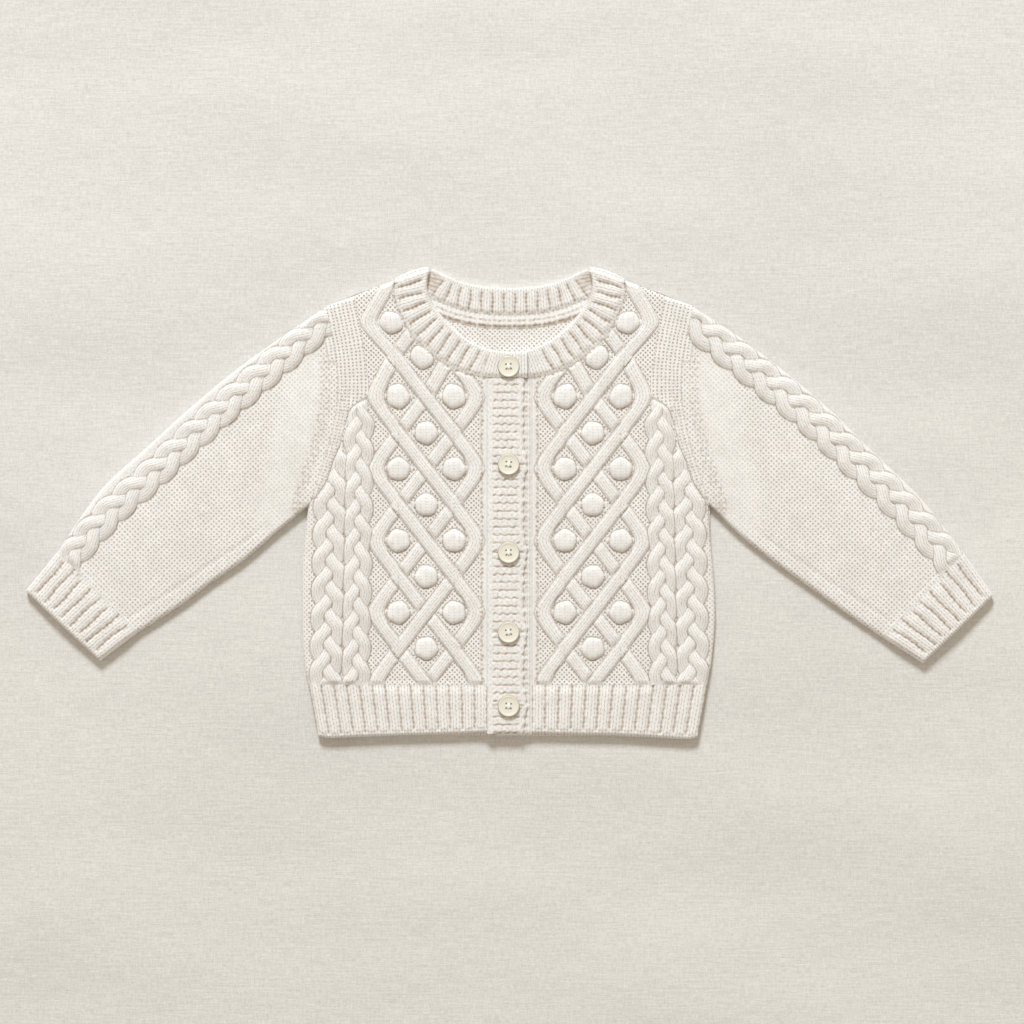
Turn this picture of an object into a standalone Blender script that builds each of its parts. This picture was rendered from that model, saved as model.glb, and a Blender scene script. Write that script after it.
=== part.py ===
"""A baby's cable-knit cardigan, buttoned and laid flat, one object for each piece that is knitted.

Sizes and tables are in millimetres, and the objects are in metres. X runs along the wingspan, Y from
hem to neck and Z up. "out" is a distance from the centre line, so one table serves both halves, and
RIGHT and LEFT are the wearer's sides. The back lies on the ground, and the fronts lie on the back.
"""

import math
from collections import namedtuple

import bmesh
import bpy
import numpy as np

MM = 0.001
RIGHT, LEFT = -1, 1

# Cloth
WALL = 3.0
GAP = 0.3
SEAM = GAP / 2
FRONT_LOW = WALL + GAP
FRONT_TOP = FRONT_LOW + WALL
FOLD_RADIUS = 3.4
FOLD_INSET = 2.4
EDGE_ROUND = ((1.0, 0.0), (0.0, 1.4))
HEM_TOP = -118.0

# Front bands: the buttonhole band laps over the button band
BAND_OUT = 14.6
LAP_LOW = FRONT_TOP + GAP
LAP_TOP = LAP_LOW + WALL
LAP_START, LAP_END = -14.0, -10.2
BAND_HEAD = 81.4
BAND_FOOT = -149.6
BUTTON_BAND_REACH = -8.8
NECKBAND_UNDER_END = -8.4

# Buttons
BUTTON_OUT = -0.6
BUTTON_STEPS = 16
# A button's half section as (radius, height)
BUTTON_SECTION = ((0.0, 0.0), (5.2, 0.0), (6.6, 0.7), (7.0, 1.6), (6.2, 2.6), (4.6, 1.7), (0.0, 1.5))
BUTTON_LEVELS = (88.6, 25.2, -32.0, -83.7, -131.5)

# Lattice of ropes and bobbles on each front
COLUMN_PITCH = 18.1
ROW_PITCH = 23.335
ROPE_HALF = 4.3
ROPE_HIGH = 2.5
TURN_ROUNDING = 0.2
BOBBLE_RADIUS = 7.9
BOBBLE_HIGH = 5.2
PANEL_OUT = 54.1 + 2 * COLUMN_PITCH
GRID_STEPS = 5
FAN_EASING = 3

# Plaits of three strands
LOBE_PITCH = 18.1
PLAIT_HIGH = 2.7
PLAIT_WEAVE = 0.8
# Below 0, a strand turns sharply at the edges of the plait
PLAIT_SQUARE = -0.09

# Ribs
RIB_HIGH = 1.2
NECK_RIB_PITCH = 7.5
HEM_RIB_PITCH = 8.6
CUFF_RIBS = 9

# Sleeve tubes
SLEEVE_DOME = 1.2
SLIT_HIGH = 0.5
SLEEVE_ROW = 5.4

Plait = namedtuple("Plait", "head_out foot_out swing half_width lobe_level")
FRONT_PLAITS = (Plait(116.2, 119.0, 6.2, 4.9, -2.4), Plait(98.6, 100.4, 5.2, 4.5, -13.0))
PLAIT_HEAD_LEVEL, PLAIT_FOOT_LEVEL = 0.0, -118.0

Side = namedtuple("Side", "level right_out left_out")
BODY_SIDE = (
    Side(-153.0, 124.4, 122.6),
    Side(-141.0, 126.4, 125.2),
    Side(-118.0, 130.8, 128.7),
    Side(-102.0, 133.6, 131.5),
    Side(-76.0, 134.9, 133.6),
    Side(-50.0, 134.9, 132.9),
    Side(-24.0, 133.6, 130.6),
    Side(-1.6, 130.8, 129.4),
)
Seam = namedtuple("Seam", "level out")
ARMHOLE = (
    Seam(-1.6, 130.3),
    Seam(18.3, 123.8),
    Seam(34.6, 118.6),
    Seam(50.8, 114.7),
    Seam(67.1, 112.1),
    Seam(83.3, 111.8),
    Seam(99.6, 113.4),
    Seam(112.6, 116.0),
    Seam(128.2, 119.3),
)
# Inner edge of the stitch columns that lap over the tops of the plaits
YOKE_EDGE = (Seam(3.0, 127.0), Seam(14.4, 119.4), Seam(28.1, 114.6), Seam(39.1, 110.0),
             Seam(54.1, 106.3), Seam(62.0, 103.0), Seam(70.0, 92.0), Seam(74.0, 84.0))

# From the neck up, a front's rows fan from the armhole to the neck seam
Fan = namedtuple("Fan", "side_level panel_out panel_level neck_out neck_level")
NECK_FAN = (
    Fan(84.5, 91.0, 83.2, 14.6, 81.6),
    Fan(96.0, 92.4, 92.0, 28.6, 84.5),
    Fan(104.0, 93.2, 99.0, 40.0, 89.2),
    Fan(110.5, 94.2, 106.5, 51.5, 97.8),
    Fan(116.0, 95.4, 114.5, 62.9, 108.4),
    Fan(120.5, 97.0, 122.0, 69.6, 120.4),
    Fan(124.5, 98.6, 129.4, 74.6, 133.1),
    Fan(128.2, 99.8, 136.0, 75.4, 144.8),
)
Lattice = namedtuple("Lattice", "level row middle_out")
LATTICE = (
    Lattice(69.03 - 9 * ROW_PITCH, 9, 54.1),
    Lattice(69.03, 0, 54.1),
    Lattice(95.7, -1, 56.9),
    Lattice(117.1, -2, 58.9),
    Lattice(141.0, -3, 61.0),
)
LAST_BOBBLE_ROW = 7
# Crossings where the other strand lies on top, on the right front
SWAPPED_CROSSINGS = ((0, 6), (1, 7))

Sleeve = namedtuple("Sleeve", "top_out top_level low_out low_level")
SLEEVES = {
    RIGHT: (
        Sleeve(119.3, 128.2, 130.3, -1.6),
        Sleeve(151.1, 106.4, 151.5, -18.6),
        Sleeve(180.0, 85.4, 171.9, -36.3),
        Sleeve(209.0, 61.2, 193.0, -50.8),
        Sleeve(238.0, 34.8, 211.0, -64.2),
        Sleeve(267.0, 7.6, 227.0, -74.8),
        Sleeve(294.0, -31.0, 241.5, -83.9),
    ),
    LEFT: (
        Sleeve(119.3, 128.2, 130.3, -1.6),
        Sleeve(150.5, 107.5, 150.0, -20.6),
        Sleeve(180.0, 85.0, 171.0, -37.2),
        Sleeve(209.5, 60.0, 192.0, -52.2),
        Sleeve(238.5, 31.5, 211.5, -66.2),
        Sleeve(267.0, 3.8, 228.0, -77.5),
        Sleeve(295.4, -31.7, 242.1, -87.0),
    ),
}
CUFF_ENDS = {RIGHT: Sleeve(314.9, -56.7, 266.2, -102.6), LEFT: Sleeve(314.9, -59.9, 268.6, -104.1)}
# How far a cuff or sleeve fold has gone along before its armhole curve is straight
ARMHOLE_FADE = 0.55

Point = namedtuple("Point", "out level")
SLEEVE_PLAIT_LINES = {
    RIGHT: (Point(113.0, 124.0), Point(139.0, 102.0), Point(193.0, 55.1), Point(232.8, 17.8),
            Point(258.4, -5.1), Point(284.4, -33.7), Point(296.0, -48.0)),
    LEFT: (Point(113.0, 124.5), Point(136.5, 104.0), Point(190.6, 60.0), Point(229.5, 23.0),
           Point(255.5, -3.0), Point(283.0, -33.0), Point(294.0, -47.0)),
}
SLEEVE_PLAIT_SWING = {RIGHT: 5.6, LEFT: 6.4}
SLEEVE_PLAIT_HALF = 4.7
SLEEVE_FIRST_CUSP = {RIGHT: Point(133.0, 95.6), LEFT: Point(128.8, 96.1)}

# The neckband, from its lapping end on the right front round the neck to the end below it
Band = namedtuple("Band", "seam_out seam_level rim_out rim_level")
NECK_FRONT = (
    Band(0.0, 81.4, 0.0, 98.3),
    Band(15.0, 81.7, 9.8, 99.3),
    Band(28.6, 84.5, 18.9, 102.2),
    Band(40.0, 89.2, 28.6, 107.4),
    Band(51.5, 97.8, 38.4, 115.8),
    Band(62.9, 108.4, 45.0, 123.2),
    Band(67.6, 116.9, 48.5, 128.2),
    Band(72.2, 126.4, 51.4, 133.1),
    Band(74.8, 134.5, 53.4, 139.5),
    Band(75.1, 138.6, 53.0, 145.2),
    Band(74.9, 142.2, 51.8, 150.2),
)
NECK_BACK = (
    Band(74.9, 142.2, 51.8, 150.2),
    Band(60.5, 137.0, 45.5, 148.6),
    Band(47.1, 131.4, 38.2, 145.8),
    Band(35.8, 127.0, 31.5, 142.9),
    Band(24.6, 124.0, 23.0, 141.2),
    Band(12.0, 122.5, 12.0, 140.2),
    Band(0.0, 122.1, 0.0, 139.9),
)
NECKBAND_LAP_END = 11.6
# Points round a neckband's section: how far from seam to rim, and from its inner to its outer face
BAND_PROFILE = ((0.0, 0.0), (0.0, 0.75), (0.08, 1.0), (0.9, 1.0), (1.0, 0.7), (1.0, 0.0), (0.9, 0.0),
                (0.08, 0.0))

# Lower edges of the hem ribs, on each front from the band outwards, and on the back from right to left
HEM_FOOT = {
    RIGHT: (Point(BAND_OUT, -148.9), Point(43.9, -150.0), Point(69.9, -150.7), Point(95.9, -151.6),
            Point(117.0, -152.7), Point(124.6, -151.0)),
    LEFT: (Point(BAND_OUT, -149.5), Point(47.1, -150.3), Point(73.1, -150.7), Point(99.1, -152.3),
           Point(117.0, -153.3), Point(122.4, -151.4)),
}
BACK_FOOT = (Point(-123.4, -151.0), Point(-60.0, -150.2), Point(0.0, -151.6), Point(60.0, -150.2),
             Point(121.6, -151.6))

# The ridge where the neckband was picked up shows on the inside of the back
RIDGE_WIDE = 7.6
RIDGE_HIGH = 1.6
RIDGE_OUT = 40.0

WOOL = (0.80, 0.76, 0.69, 1.0)
RIB_WOOL = (0.79, 0.75, 0.68, 1.0)
BUTTON_CREAM = (0.76, 0.70, 0.58, 1.0)


# ---------------------------------------------------------------- curves and tables


def smooth_rows(table, places):
    """Rows of a table at fractional row numbers, on a smooth curve through its own rows."""
    rows = np.asarray(table, float)
    places = np.clip(np.atleast_1d(places).astype(float), 0, len(rows) - 1)
    start = np.minimum(places.astype(int), len(rows) - 2)
    part = (places - start)[:, None]
    padded = np.vstack([2 * rows[0] - rows[1], rows, 2 * rows[-1] - rows[-2]])
    before, here, after, beyond = (padded[start + n] for n in range(4))
    return 0.5 * (
        2 * here
        + (after - before) * part
        + (2 * before - 5 * here + 4 * after - beyond) * part**2
        + (3 * here - before - 3 * after + beyond) * part**3
    )


def smooth_curve(table, steps=8):
    """The table's rows with smooth rows set in between them."""
    return smooth_rows(table, np.linspace(0, len(table) - 1, (len(table) - 1) * steps + 1))


def between(low, high, value):
    """0 up to low, 1 from high, and a smooth rise between them."""
    part = np.clip((value - low) / (high - low), 0, 1)
    return part * part * (3 - 2 * part)


def dome(distance, radius):
    """A rounded section: 1 at the middle and 0 from the radius out."""
    return np.clip(1 - (distance / radius) ** 2, 0, None) ** 0.7


def beside(line, out, level):
    """How far along a line of points each place lies, and how far to its left."""
    along = np.zeros_like(out)
    left = np.full_like(out, 1e6)
    travelled = 0.0
    for start, end in zip(line[:-1], line[1:]):
        step = end - start
        length = math.hypot(*step)
        east, north = out - start[0], level - start[1]
        part = np.clip((east * step[0] + north * step[1]) / length**2, 0, 1)
        distance = np.hypot(east - part * step[0], north - part * step[1])
        side = np.sign(step[0] * north - step[1] * east)
        nearer = distance < np.abs(left)
        left = np.where(nearer, np.where(side == 0, 1, side) * distance, left)
        along = np.where(nearer, travelled + part * length, along)
        travelled += length
    return along, left


def side_out(level, side):
    """The body's half width, from hem to shoulder tip."""
    body = smooth_curve(BODY_SIDE)
    arm = smooth_curve(ARMHOLE)
    below = np.interp(level, body[:, 0], body[:, 1 if side == RIGHT else 2])
    above = np.interp(level, arm[:, 0], arm[:, 1])
    return np.where(level < ARMHOLE[0].level, below, above - SEAM)


def spread(low, high, step):
    """Places from low to high, about one step apart."""
    return np.linspace(low, high, max(1, round(abs(high - low) / step)) + 1)


# ---------------------------------------------------------------- relief


def lattice_place(out, level):
    """Column and row numbers in the lattice, which spreads a little towards the shoulder."""
    levels, rows, middles = np.array(LATTICE).T
    return (out - np.interp(level, levels, middles)) / COLUMN_PITCH, np.interp(level, levels, rows)


def lattice_relief(out, level, side):
    """Ropes that cross in diamonds, with a bobble in each diamond."""
    column, row = lattice_place(out, level)
    across = COLUMN_PITCH * math.cos(math.atan2(COLUMN_PITCH, ROW_PITCH))
    falling, rising = column + row, column - row
    off_falling = np.abs(falling - 2 * np.round(falling / 2)) * across
    off_rising = np.abs(rising - 2 * np.round(rising / 2)) * across
    swapped = np.zeros(out.shape, bool)
    if side == RIGHT:
        for node_column, node_row in SWAPPED_CROSSINGS:
            swapped |= np.hypot(column - node_column, row - node_row) < 0.6
    over = np.where(swapped, off_rising, off_falling)
    under = np.where(swapped, off_falling, off_rising)
    tucked = 0.3 + 0.7 * between(0.8 * ROPE_HALF, 1.9 * ROPE_HALF, over)
    inner = np.maximum(dome(over, ROPE_HALF), tucked * dome(under, ROPE_HALF))
    turn = np.abs(row - 2 * np.round(row / 2))
    outer = dome((np.abs(column) - 2 + np.hypot(turn, TURN_ROUNDING)) * across, ROPE_HALF)
    height = ROPE_HIGH * np.where(np.abs(column) > 1, outer, inner)
    nearest_row = np.round(row)
    nearest_column = np.clip(2 * np.round((column + nearest_row + 1) / 2) - nearest_row - 1, -1, 1)
    odd = (np.mod(nearest_column + nearest_row, 2) == 1) & (nearest_row <= LAST_BOBBLE_ROW)
    reach = np.hypot((column - nearest_column) * COLUMN_PITCH, (row - nearest_row) * ROW_PITCH)
    bobble = BOBBLE_HIGH * np.where(odd, dome(reach, BOBBLE_RADIUS), 0)
    inside = between(2.35, 2.15, np.abs(column))
    return np.maximum(height * inside, bobble)


def plait_relief(down, across, swing, half_width):
    """Three strands plaited, with an outer lobe on each side every LOBE_PITCH."""
    height = np.zeros_like(down)
    for strand in range(3):
        turn = 2 * math.pi * (down / (3 * LOBE_PITCH) + strand / 3)
        steep = (np.cos(turn) + 3 * PLAIT_SQUARE * np.cos(3 * turn)) / (1 - PLAIT_SQUARE)
        sway = (np.sin(turn) + PLAIT_SQUARE * np.sin(3 * turn)) / (1 - PLAIT_SQUARE)
        lean = np.arctan(swing * steep * 2 * math.pi / (3 * LOBE_PITCH))
        off = (across - swing * sway) * np.cos(lean)
        rise = PLAIT_HIGH + PLAIT_WEAVE * np.sin(2 * turn)
        height = np.maximum(height, rise * dome(off, half_width))
    return height


def front_relief(out, level, side):
    """All that is raised on a front's outer face."""
    height = lattice_relief(out, level, side)
    yoke = smooth_curve(YOKE_EDGE)
    clear = between(-1.0, 2.0, np.interp(level, yoke[:, 0], yoke[:, 1], left=200) - out)
    for plait in FRONT_PLAITS:
        part = (PLAIT_HEAD_LEVEL - level) / (PLAIT_HEAD_LEVEL - PLAIT_FOOT_LEVEL)
        centre = plait.head_out + part * (plait.foot_out - plait.head_out)
        down = plait.lobe_level - level + 0.75 * LOBE_PITCH
        height = np.maximum(height, clear * plait_relief(down, out - centre, plait.swing, plait.half_width))
    return height * between(HEM_TOP - 2, HEM_TOP + 5, level)


def ribs(places, pitch):
    """Rib height: two knit columns high and one purl column low in each pitch."""
    return RIB_HIGH * between(0.12, 0.42, np.abs(np.mod(places / pitch, 1) - 0.5) * 2)


def softened(height, distance, low):
    """A top face that rolls down to low at a fold."""
    part = np.clip(distance / FOLD_RADIUS, 0, 1)
    return low + (height - low) * np.sqrt(1 - (1 - part) ** 2)


def lap_rise(x):
    """How far the right front's bands are lifted where they lap over the button band."""
    return (LAP_LOW - FRONT_LOW) * between(LAP_START, LAP_END, x)


def lap_top(x):
    """The same lift on the upper face, where it starts sooner and ends as it does."""
    return (LAP_TOP - FRONT_TOP) * between(LAP_START - 6, LAP_END, x)


# ---------------------------------------------------------------- meshes


def lay_sheet(bm, points):
    """A grid of faces whose corners are points, an array of rows by columns by x, y, z."""
    rows, columns = points.shape[0] - 1, points.shape[1] - 1
    made = bmesh.ops.create_grid(bm, x_segments=columns, y_segments=rows, size=0.5)["verts"]
    for vert in made:
        column, row = round((vert.co.x + 0.5) * columns), round((vert.co.y + 0.5) * rows)
        vert.co = points[row, column] * MM
    return made


def split_on_ridges(bm):
    """Splits each four-sided face along its higher diagonal, so that ropes keep their crests."""
    for face in [face for face in bm.faces if len(face.verts) == 4]:
        a, b, c, d = face.verts
        if a.co.z + c.co.z >= b.co.z + d.co.z:
            bmesh.utils.face_split(face, a, c)
        else:
            bmesh.utils.face_split(face, b, d)


def rim_edges(bm):
    return [edge for edge in bm.edges if edge.is_boundary]


def drop_rim(bm, steps, upright=()):
    """Extrudes the rim down: steps is (level, inset) rows, and the upright points take no inset."""
    edges = rim_edges(bm)
    inward_at = {}
    for edge in edges:
        inward = (edge.verts[1].co - edge.verts[0].co).cross((0, 0, 1)).normalized()
        if inward.dot(edge.link_faces[0].calc_center_median() - edge.verts[0].co) < 0:
            inward.negate()
        for vert in edge.verts:
            inward_at.setdefault(tuple(vert.co.xy), []).append(inward)
    stands = {}
    for spot, sides in inward_at.items():
        inward = (sides[0] + sides[-1]).normalized()
        if any(math.dist(spot, (x * MM, y * MM)) < 1e-6 for x, y in upright):
            inward *= 0
        stands[spot] = spot, inward
    for level, inset in steps:
        made = bmesh.ops.extrude_edge_only(bm, edges=rim_edges(bm))["geom"]
        moved = {}
        for vert in [item for item in made if isinstance(item, bmesh.types.BMVert)]:
            spot, inward = stands[tuple(vert.co.xy)]
            vert.co = spot[0] + inset * MM * inward.x, spot[1] + inset * MM * inward.y, level * MM
            moved[tuple(vert.co.xy)] = spot, inward
        stands = moved


def close_rim(bm):
    bmesh.ops.holes_fill(bm, edges=rim_edges(bm), sides=0)


def swept(rings, capped=True):
    """A bmesh through rings of points, closed round each ring and capped or joined at the ends."""
    bm = bmesh.new()
    points = np.concatenate([rings, rings[:, :1]], axis=1)
    if not capped:
        points = np.concatenate([points, points[:1]], axis=0)
    lay_sheet(bm, points)
    bmesh.ops.remove_doubles(bm, verts=bm.verts, dist=1e-7)
    if capped:
        close_rim(bm)
    return bm


def wool(name, colour, roughness=0.95):
    material = bpy.data.materials.new(name)
    material.use_nodes = True
    shader = material.node_tree.nodes["Principled BSDF"]
    shader.inputs["Base Color"].default_value = colour
    shader.inputs["Roughness"].default_value = roughness
    shader.inputs["Metallic"].default_value = 0.0
    return material


def add_object(name, bm, material, parent):
    bmesh.ops.recalc_face_normals(bm, faces=bm.faces)
    mesh = bpy.data.meshes.new(name)
    bm.to_mesh(mesh)
    bm.free()
    mesh.shade_smooth()
    mesh.set_sharp_from_angle(angle=math.radians(50))
    mesh.materials.append(material)
    made = bpy.data.objects.new(name, mesh)
    made.parent = parent
    bpy.context.scene.collection.objects.link(made)
    return made


# ---------------------------------------------------------------- pieces


def eased(height, first_row):
    """Heights from first_row on, drawn halfway to the mean of their four neighbours."""
    mean = (height[:-2, 1:-1] + height[2:, 1:-1] + height[1:-1, :-2] + height[1:-1, 2:]) / 4
    drawn = height.copy()
    drawn[1:-1, 1:-1] = (height[1:-1, 1:-1] + mean) / 2
    drawn[:first_row] = height[:first_row]
    return drawn


def front_rows():
    """Side, panel and neck points of each row of a front from hem to shoulder, and the first fanned row."""
    step = ROW_PITCH / GRID_STEPS
    top_row = LATTICE[1].level
    levels = np.arange(top_row + 2 * step, HEM_TOP + step / 2, -step)[::-1]
    levels = np.concatenate([[HEM_TOP + SEAM], levels])
    fixed = np.ones_like(levels)
    flat = np.stack([levels, PANEL_OUT * fixed, levels, BAND_OUT * fixed, levels], axis=1)
    fan = smooth_rows(NECK_FAN, spread(0, len(NECK_FAN) - 1, 0.33))
    return np.concatenate([flat, fan]), len(flat)


def front(side):
    rows, first_fanned = front_rows()
    side_level, panel_out, panel_level, neck_out, neck_level = rows.T[:, :, None]
    edge_out = side_out(side_level, side)
    outer = np.array([0, 1.0, 3.0, 6.5, 10, 13.5, 17, 20.5, 24, 27.5, 31, 34.5, 38.0])[None] / 41.5
    inner = np.concatenate([np.arange(0, 4 * GRID_STEPS + 1) * COLUMN_PITCH / GRID_STEPS,
                            [PANEL_OUT - BAND_OUT]])[None] / (PANEL_OUT - BAND_OUT)
    neck_out, neck_level = neck_out + SEAM, neck_level - SEAM
    out = np.concatenate([edge_out + outer * (panel_out - edge_out),
                          panel_out + inner * (neck_out - panel_out)], axis=1)
    level = np.concatenate([side_level + outer * (panel_level - side_level),
                            panel_level + inner * (neck_level - panel_level)], axis=1)
    height = front_relief(out, level, side)
    for _ in range(FAN_EASING):
        height = eased(height, first_fanned)
    height = height + FRONT_TOP
    if side == RIGHT:
        height = height + lap_top(-out)
    folds = smooth_curve(BODY_SIDE)[:, [1 if side == RIGHT else 2, 0]]
    _, from_side = beside(folds, out, level)
    tip, neck_corner = ARMHOLE[-1], NECK_FAN[-1]
    shoulder = np.array([[tip.out, tip.level], [neck_corner.neck_out, neck_corner.neck_level]])
    _, from_shoulder = beside(shoulder, out, level)
    height = softened(height, np.minimum(np.abs(from_side), np.abs(from_shoulder)), FRONT_LOW + 0.8)
    bm = bmesh.new()
    lay_sheet(bm, np.stack([side * out, level, height], axis=2))
    split_on_ridges(bm)
    drop_rim(bm, ((FRONT_LOW, 0.0),))
    close_rim(bm)
    return bm


def back():
    """The back, whose inner face shows in the neck with the ridge of the picked-up stitches."""
    levels = np.concatenate([[HEM_TOP + SEAM], spread(-100, -20, 27), spread(ARMHOLE[0].level, 95, 12)])
    shoulder = smooth_curve(((119.3, 128.2), (99.8, 136.0), (75.4, 144.8)))
    neck = smooth_curve([(row.seam_out, row.seam_level) for row in NECK_BACK])
    steps = np.array([1.0, 0.87, 0.73, 0.63, 0.61, 0.55, 0.47, 0.38, 0.29, 0.2, 0.1, 0.0])
    rows = []
    for level in levels:
        rows.append(np.stack([steps * side_out(level, RIGHT), steps * 0 + level], axis=1))
    neck_out = np.interp(steps[3:], [0, 0.61, 0.63], [0, 75.1, 75.4])
    neck_level = np.interp(neck_out, neck[::-1, 0], neck[::-1, 1]) - SEAM
    neck_level[0] = shoulder[-1, 1] - SEAM
    side_part = np.interp([0, 0.5, 1], np.linspace(0, 1, len(shoulder)), shoulder[:, 0])
    top = np.concatenate([
        np.stack([side_part, np.interp(-side_part, -shoulder[:, 0], shoulder[:, 1])], axis=1),
        np.stack([neck_out, neck_level], axis=1)])
    for depth in (34.0, 22.0, 12.0, 9.0, 6.5, 3.5, 1.5, 0.0):
        part = depth / 40.0
        tip_level = ARMHOLE[-1].level - 28.0 * part
        lower = np.stack([steps * side_out(tip_level, RIGHT), top[:, 1] - depth], axis=1)
        blend = part * part
        row = np.stack([top[:, 0] * (1 - blend) + lower[:, 0] * blend, top[:, 1] - depth], axis=1)
        row[0] = side_out(tip_level, RIGHT), tip_level
        rows.append(row)
    half = np.array(rows)
    out, level = half[:, :, 0], half[:, :, 1]
    _, from_neck = beside(neck, out, level)
    ridge = RIDGE_HIGH * between(RIDGE_WIDE + 1.5, RIDGE_WIDE - 1.5, np.abs(from_neck))
    ridge = ridge * between(0.0, 2.0, np.abs(from_neck)) * between(RIDGE_OUT + 8, RIDGE_OUT - 8, out)
    height = WALL + ridge
    right = np.stack([-out, level, height], axis=2)
    left_out = out * (side_out(level, LEFT) / side_out(level, RIGHT))
    left = np.stack([left_out, level, height], axis=2)[:, ::-1]
    bm = bmesh.new()
    lay_sheet(bm, np.concatenate([right, left[:, 1:]], axis=1))
    drop_rim(bm, EDGE_ROUND)
    close_rim(bm)
    return bm


def hem(side):
    """The hem rib below one front."""
    foot = smooth_curve(HEM_FOOT[side])
    count = round((side_out(HEM_TOP, side) - BAND_OUT) / HEM_RIB_PITCH)
    places = np.arange(0, count * 3 + 1) / 3
    places = np.sort(np.concatenate([places, [0.15, count - 0.15]]))
    part = (places / count)[None]
    rows = np.array([0, 0.06, 0.9, 1.0])[:, None]
    top_out = BAND_OUT + part * (side_out(HEM_TOP, side) - BAND_OUT)
    foot_out = BAND_OUT + part * (foot[-1, 0] - BAND_OUT)
    foot_level = np.interp(foot_out, foot[:, 0], foot[:, 1])
    out = top_out + rows * (foot_out - top_out)
    level = HEM_TOP - SEAM + rows * (foot_level - HEM_TOP + SEAM)
    height = FRONT_TOP + ribs(places[None] + 0.5, 1) * between(0, 0.06, rows) * between(1.0, 0.9, rows)
    if side == RIGHT:
        height = height + lap_top(-out)
    edge = np.minimum((side_out(level, side) - out), 8 * (1 - rows) + 0.25)
    height = softened(height, np.maximum(edge, 0.25), FRONT_LOW + 0.8)
    bm = bmesh.new()
    lay_sheet(bm, np.stack([side * out, level, height], axis=2))
    split_on_ridges(bm)
    drop_rim(bm, ((FRONT_LOW, 0.0),))
    close_rim(bm)
    return bm


def hem_back():
    foot = smooth_curve(BACK_FOOT, 2)
    part = np.linspace(0, 1, len(foot))[None]
    rows = np.array([0, 0.5, 1.0])[:, None]
    top_out = -side_out(HEM_TOP, RIGHT) + part * (side_out(HEM_TOP, LEFT) + side_out(HEM_TOP, RIGHT))
    x = top_out + rows * (foot[:, 0] - top_out)
    level = HEM_TOP - SEAM + rows * (foot[:, 1] - HEM_TOP + SEAM)
    bm = bmesh.new()
    lay_sheet(bm, np.stack([x, level, np.full_like(x, WALL)], axis=2))
    drop_rim(bm, EDGE_ROUND)
    close_rim(bm)
    return bm


def tube_plan(table, places, parts):
    """Places across a sleeve, from its top fold to its low fold, at each station along it."""
    rows = smooth_rows(table, places)
    top, low = rows[:, None, :2], rows[:, None, 2:]
    plan = top + parts[None, :, None] * (low - top)
    if table[0].top_out != ARMHOLE[-1].out:
        return plan
    arm = smooth_curve(ARMHOLE)
    level = ARMHOLE[-1].level + parts * (ARMHOLE[0].level - ARMHOLE[-1].level)
    chord = ARMHOLE[-1].out + parts * (ARMHOLE[0].out - ARMHOLE[-1].out)
    bow = np.interp(level, arm[:, 0], arm[:, 1]) - chord
    fade = np.clip(1 - np.asarray(places) / (len(table) - 1) / ARMHOLE_FADE, 0, 1) ** 2
    plan[:, :, 0] += fade[:, None] * bow[None]
    return plan


def tube(side, plan, parts, height):
    """A flattened tube of knitting: solid, for a slit to be cut along it."""
    width = np.hypot(*(plan[:, -1] - plan[:, 0]).T)[:, None]
    near_fold = np.minimum(parts, 1 - parts)[None]
    height = softened(FRONT_TOP + SLEEVE_DOME * between(0, 0.5, near_fold) + height, near_fold * width, WALL)
    points = np.concatenate([plan * (side, 1), height[:, :, None]], axis=2)
    bm = bmesh.new()
    lay_sheet(bm, points)
    split_on_ridges(bm)
    ends = np.concatenate([points[0], points[-1]])[:, :2]
    drop_rim(bm, ((0.0, FOLD_INSET),), upright=ends)
    close_rim(bm)
    return bm


def slit(side, plan):
    """The cutter for the space between a tube's two walls, which runs out past both of its ends."""
    columns = np.linspace(0, 1, plan.shape[1])
    width = np.hypot(*(plan[:, -1] - plan[:, 0]).T)[:, None]
    inner = np.clip(columns[None], 2 * WALL / width, 1 - 2 * WALL / width)
    place = inner * (plan.shape[1] - 1)
    start = np.minimum(place.astype(int), plan.shape[1] - 2)
    rows = np.arange(len(plan))[:, None]
    points = plan[rows, start] + (place - start)[:, :, None] * (plan[rows, start + 1] - plan[rows, start])
    for end, beyond in ((0, 1), (-1, -2)):
        away = points[end] - points[beyond]
        points[end] += 2 * GAP * away / np.hypot(*away.T)[:, None]
    bm = bmesh.new()
    top = np.full_like(points[:, :, :1], WALL + SLIT_HIGH)
    lay_sheet(bm, np.concatenate([points * (side, 1), top], axis=2))
    drop_rim(bm, ((WALL, 0.0),))
    close_rim(bm)
    return bm


def cut_slit(tube_object, side, plan, parent):
    cutter = add_object(tube_object.name + "_slit", slit(side, plan), tube_object.data.materials[0], parent)
    cutter.hide_render = True
    cutter.display_type = "WIRE"
    cut = tube_object.modifiers.new("slit", "BOOLEAN")
    cut.operation = "DIFFERENCE"
    cut.object = cutter


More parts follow.
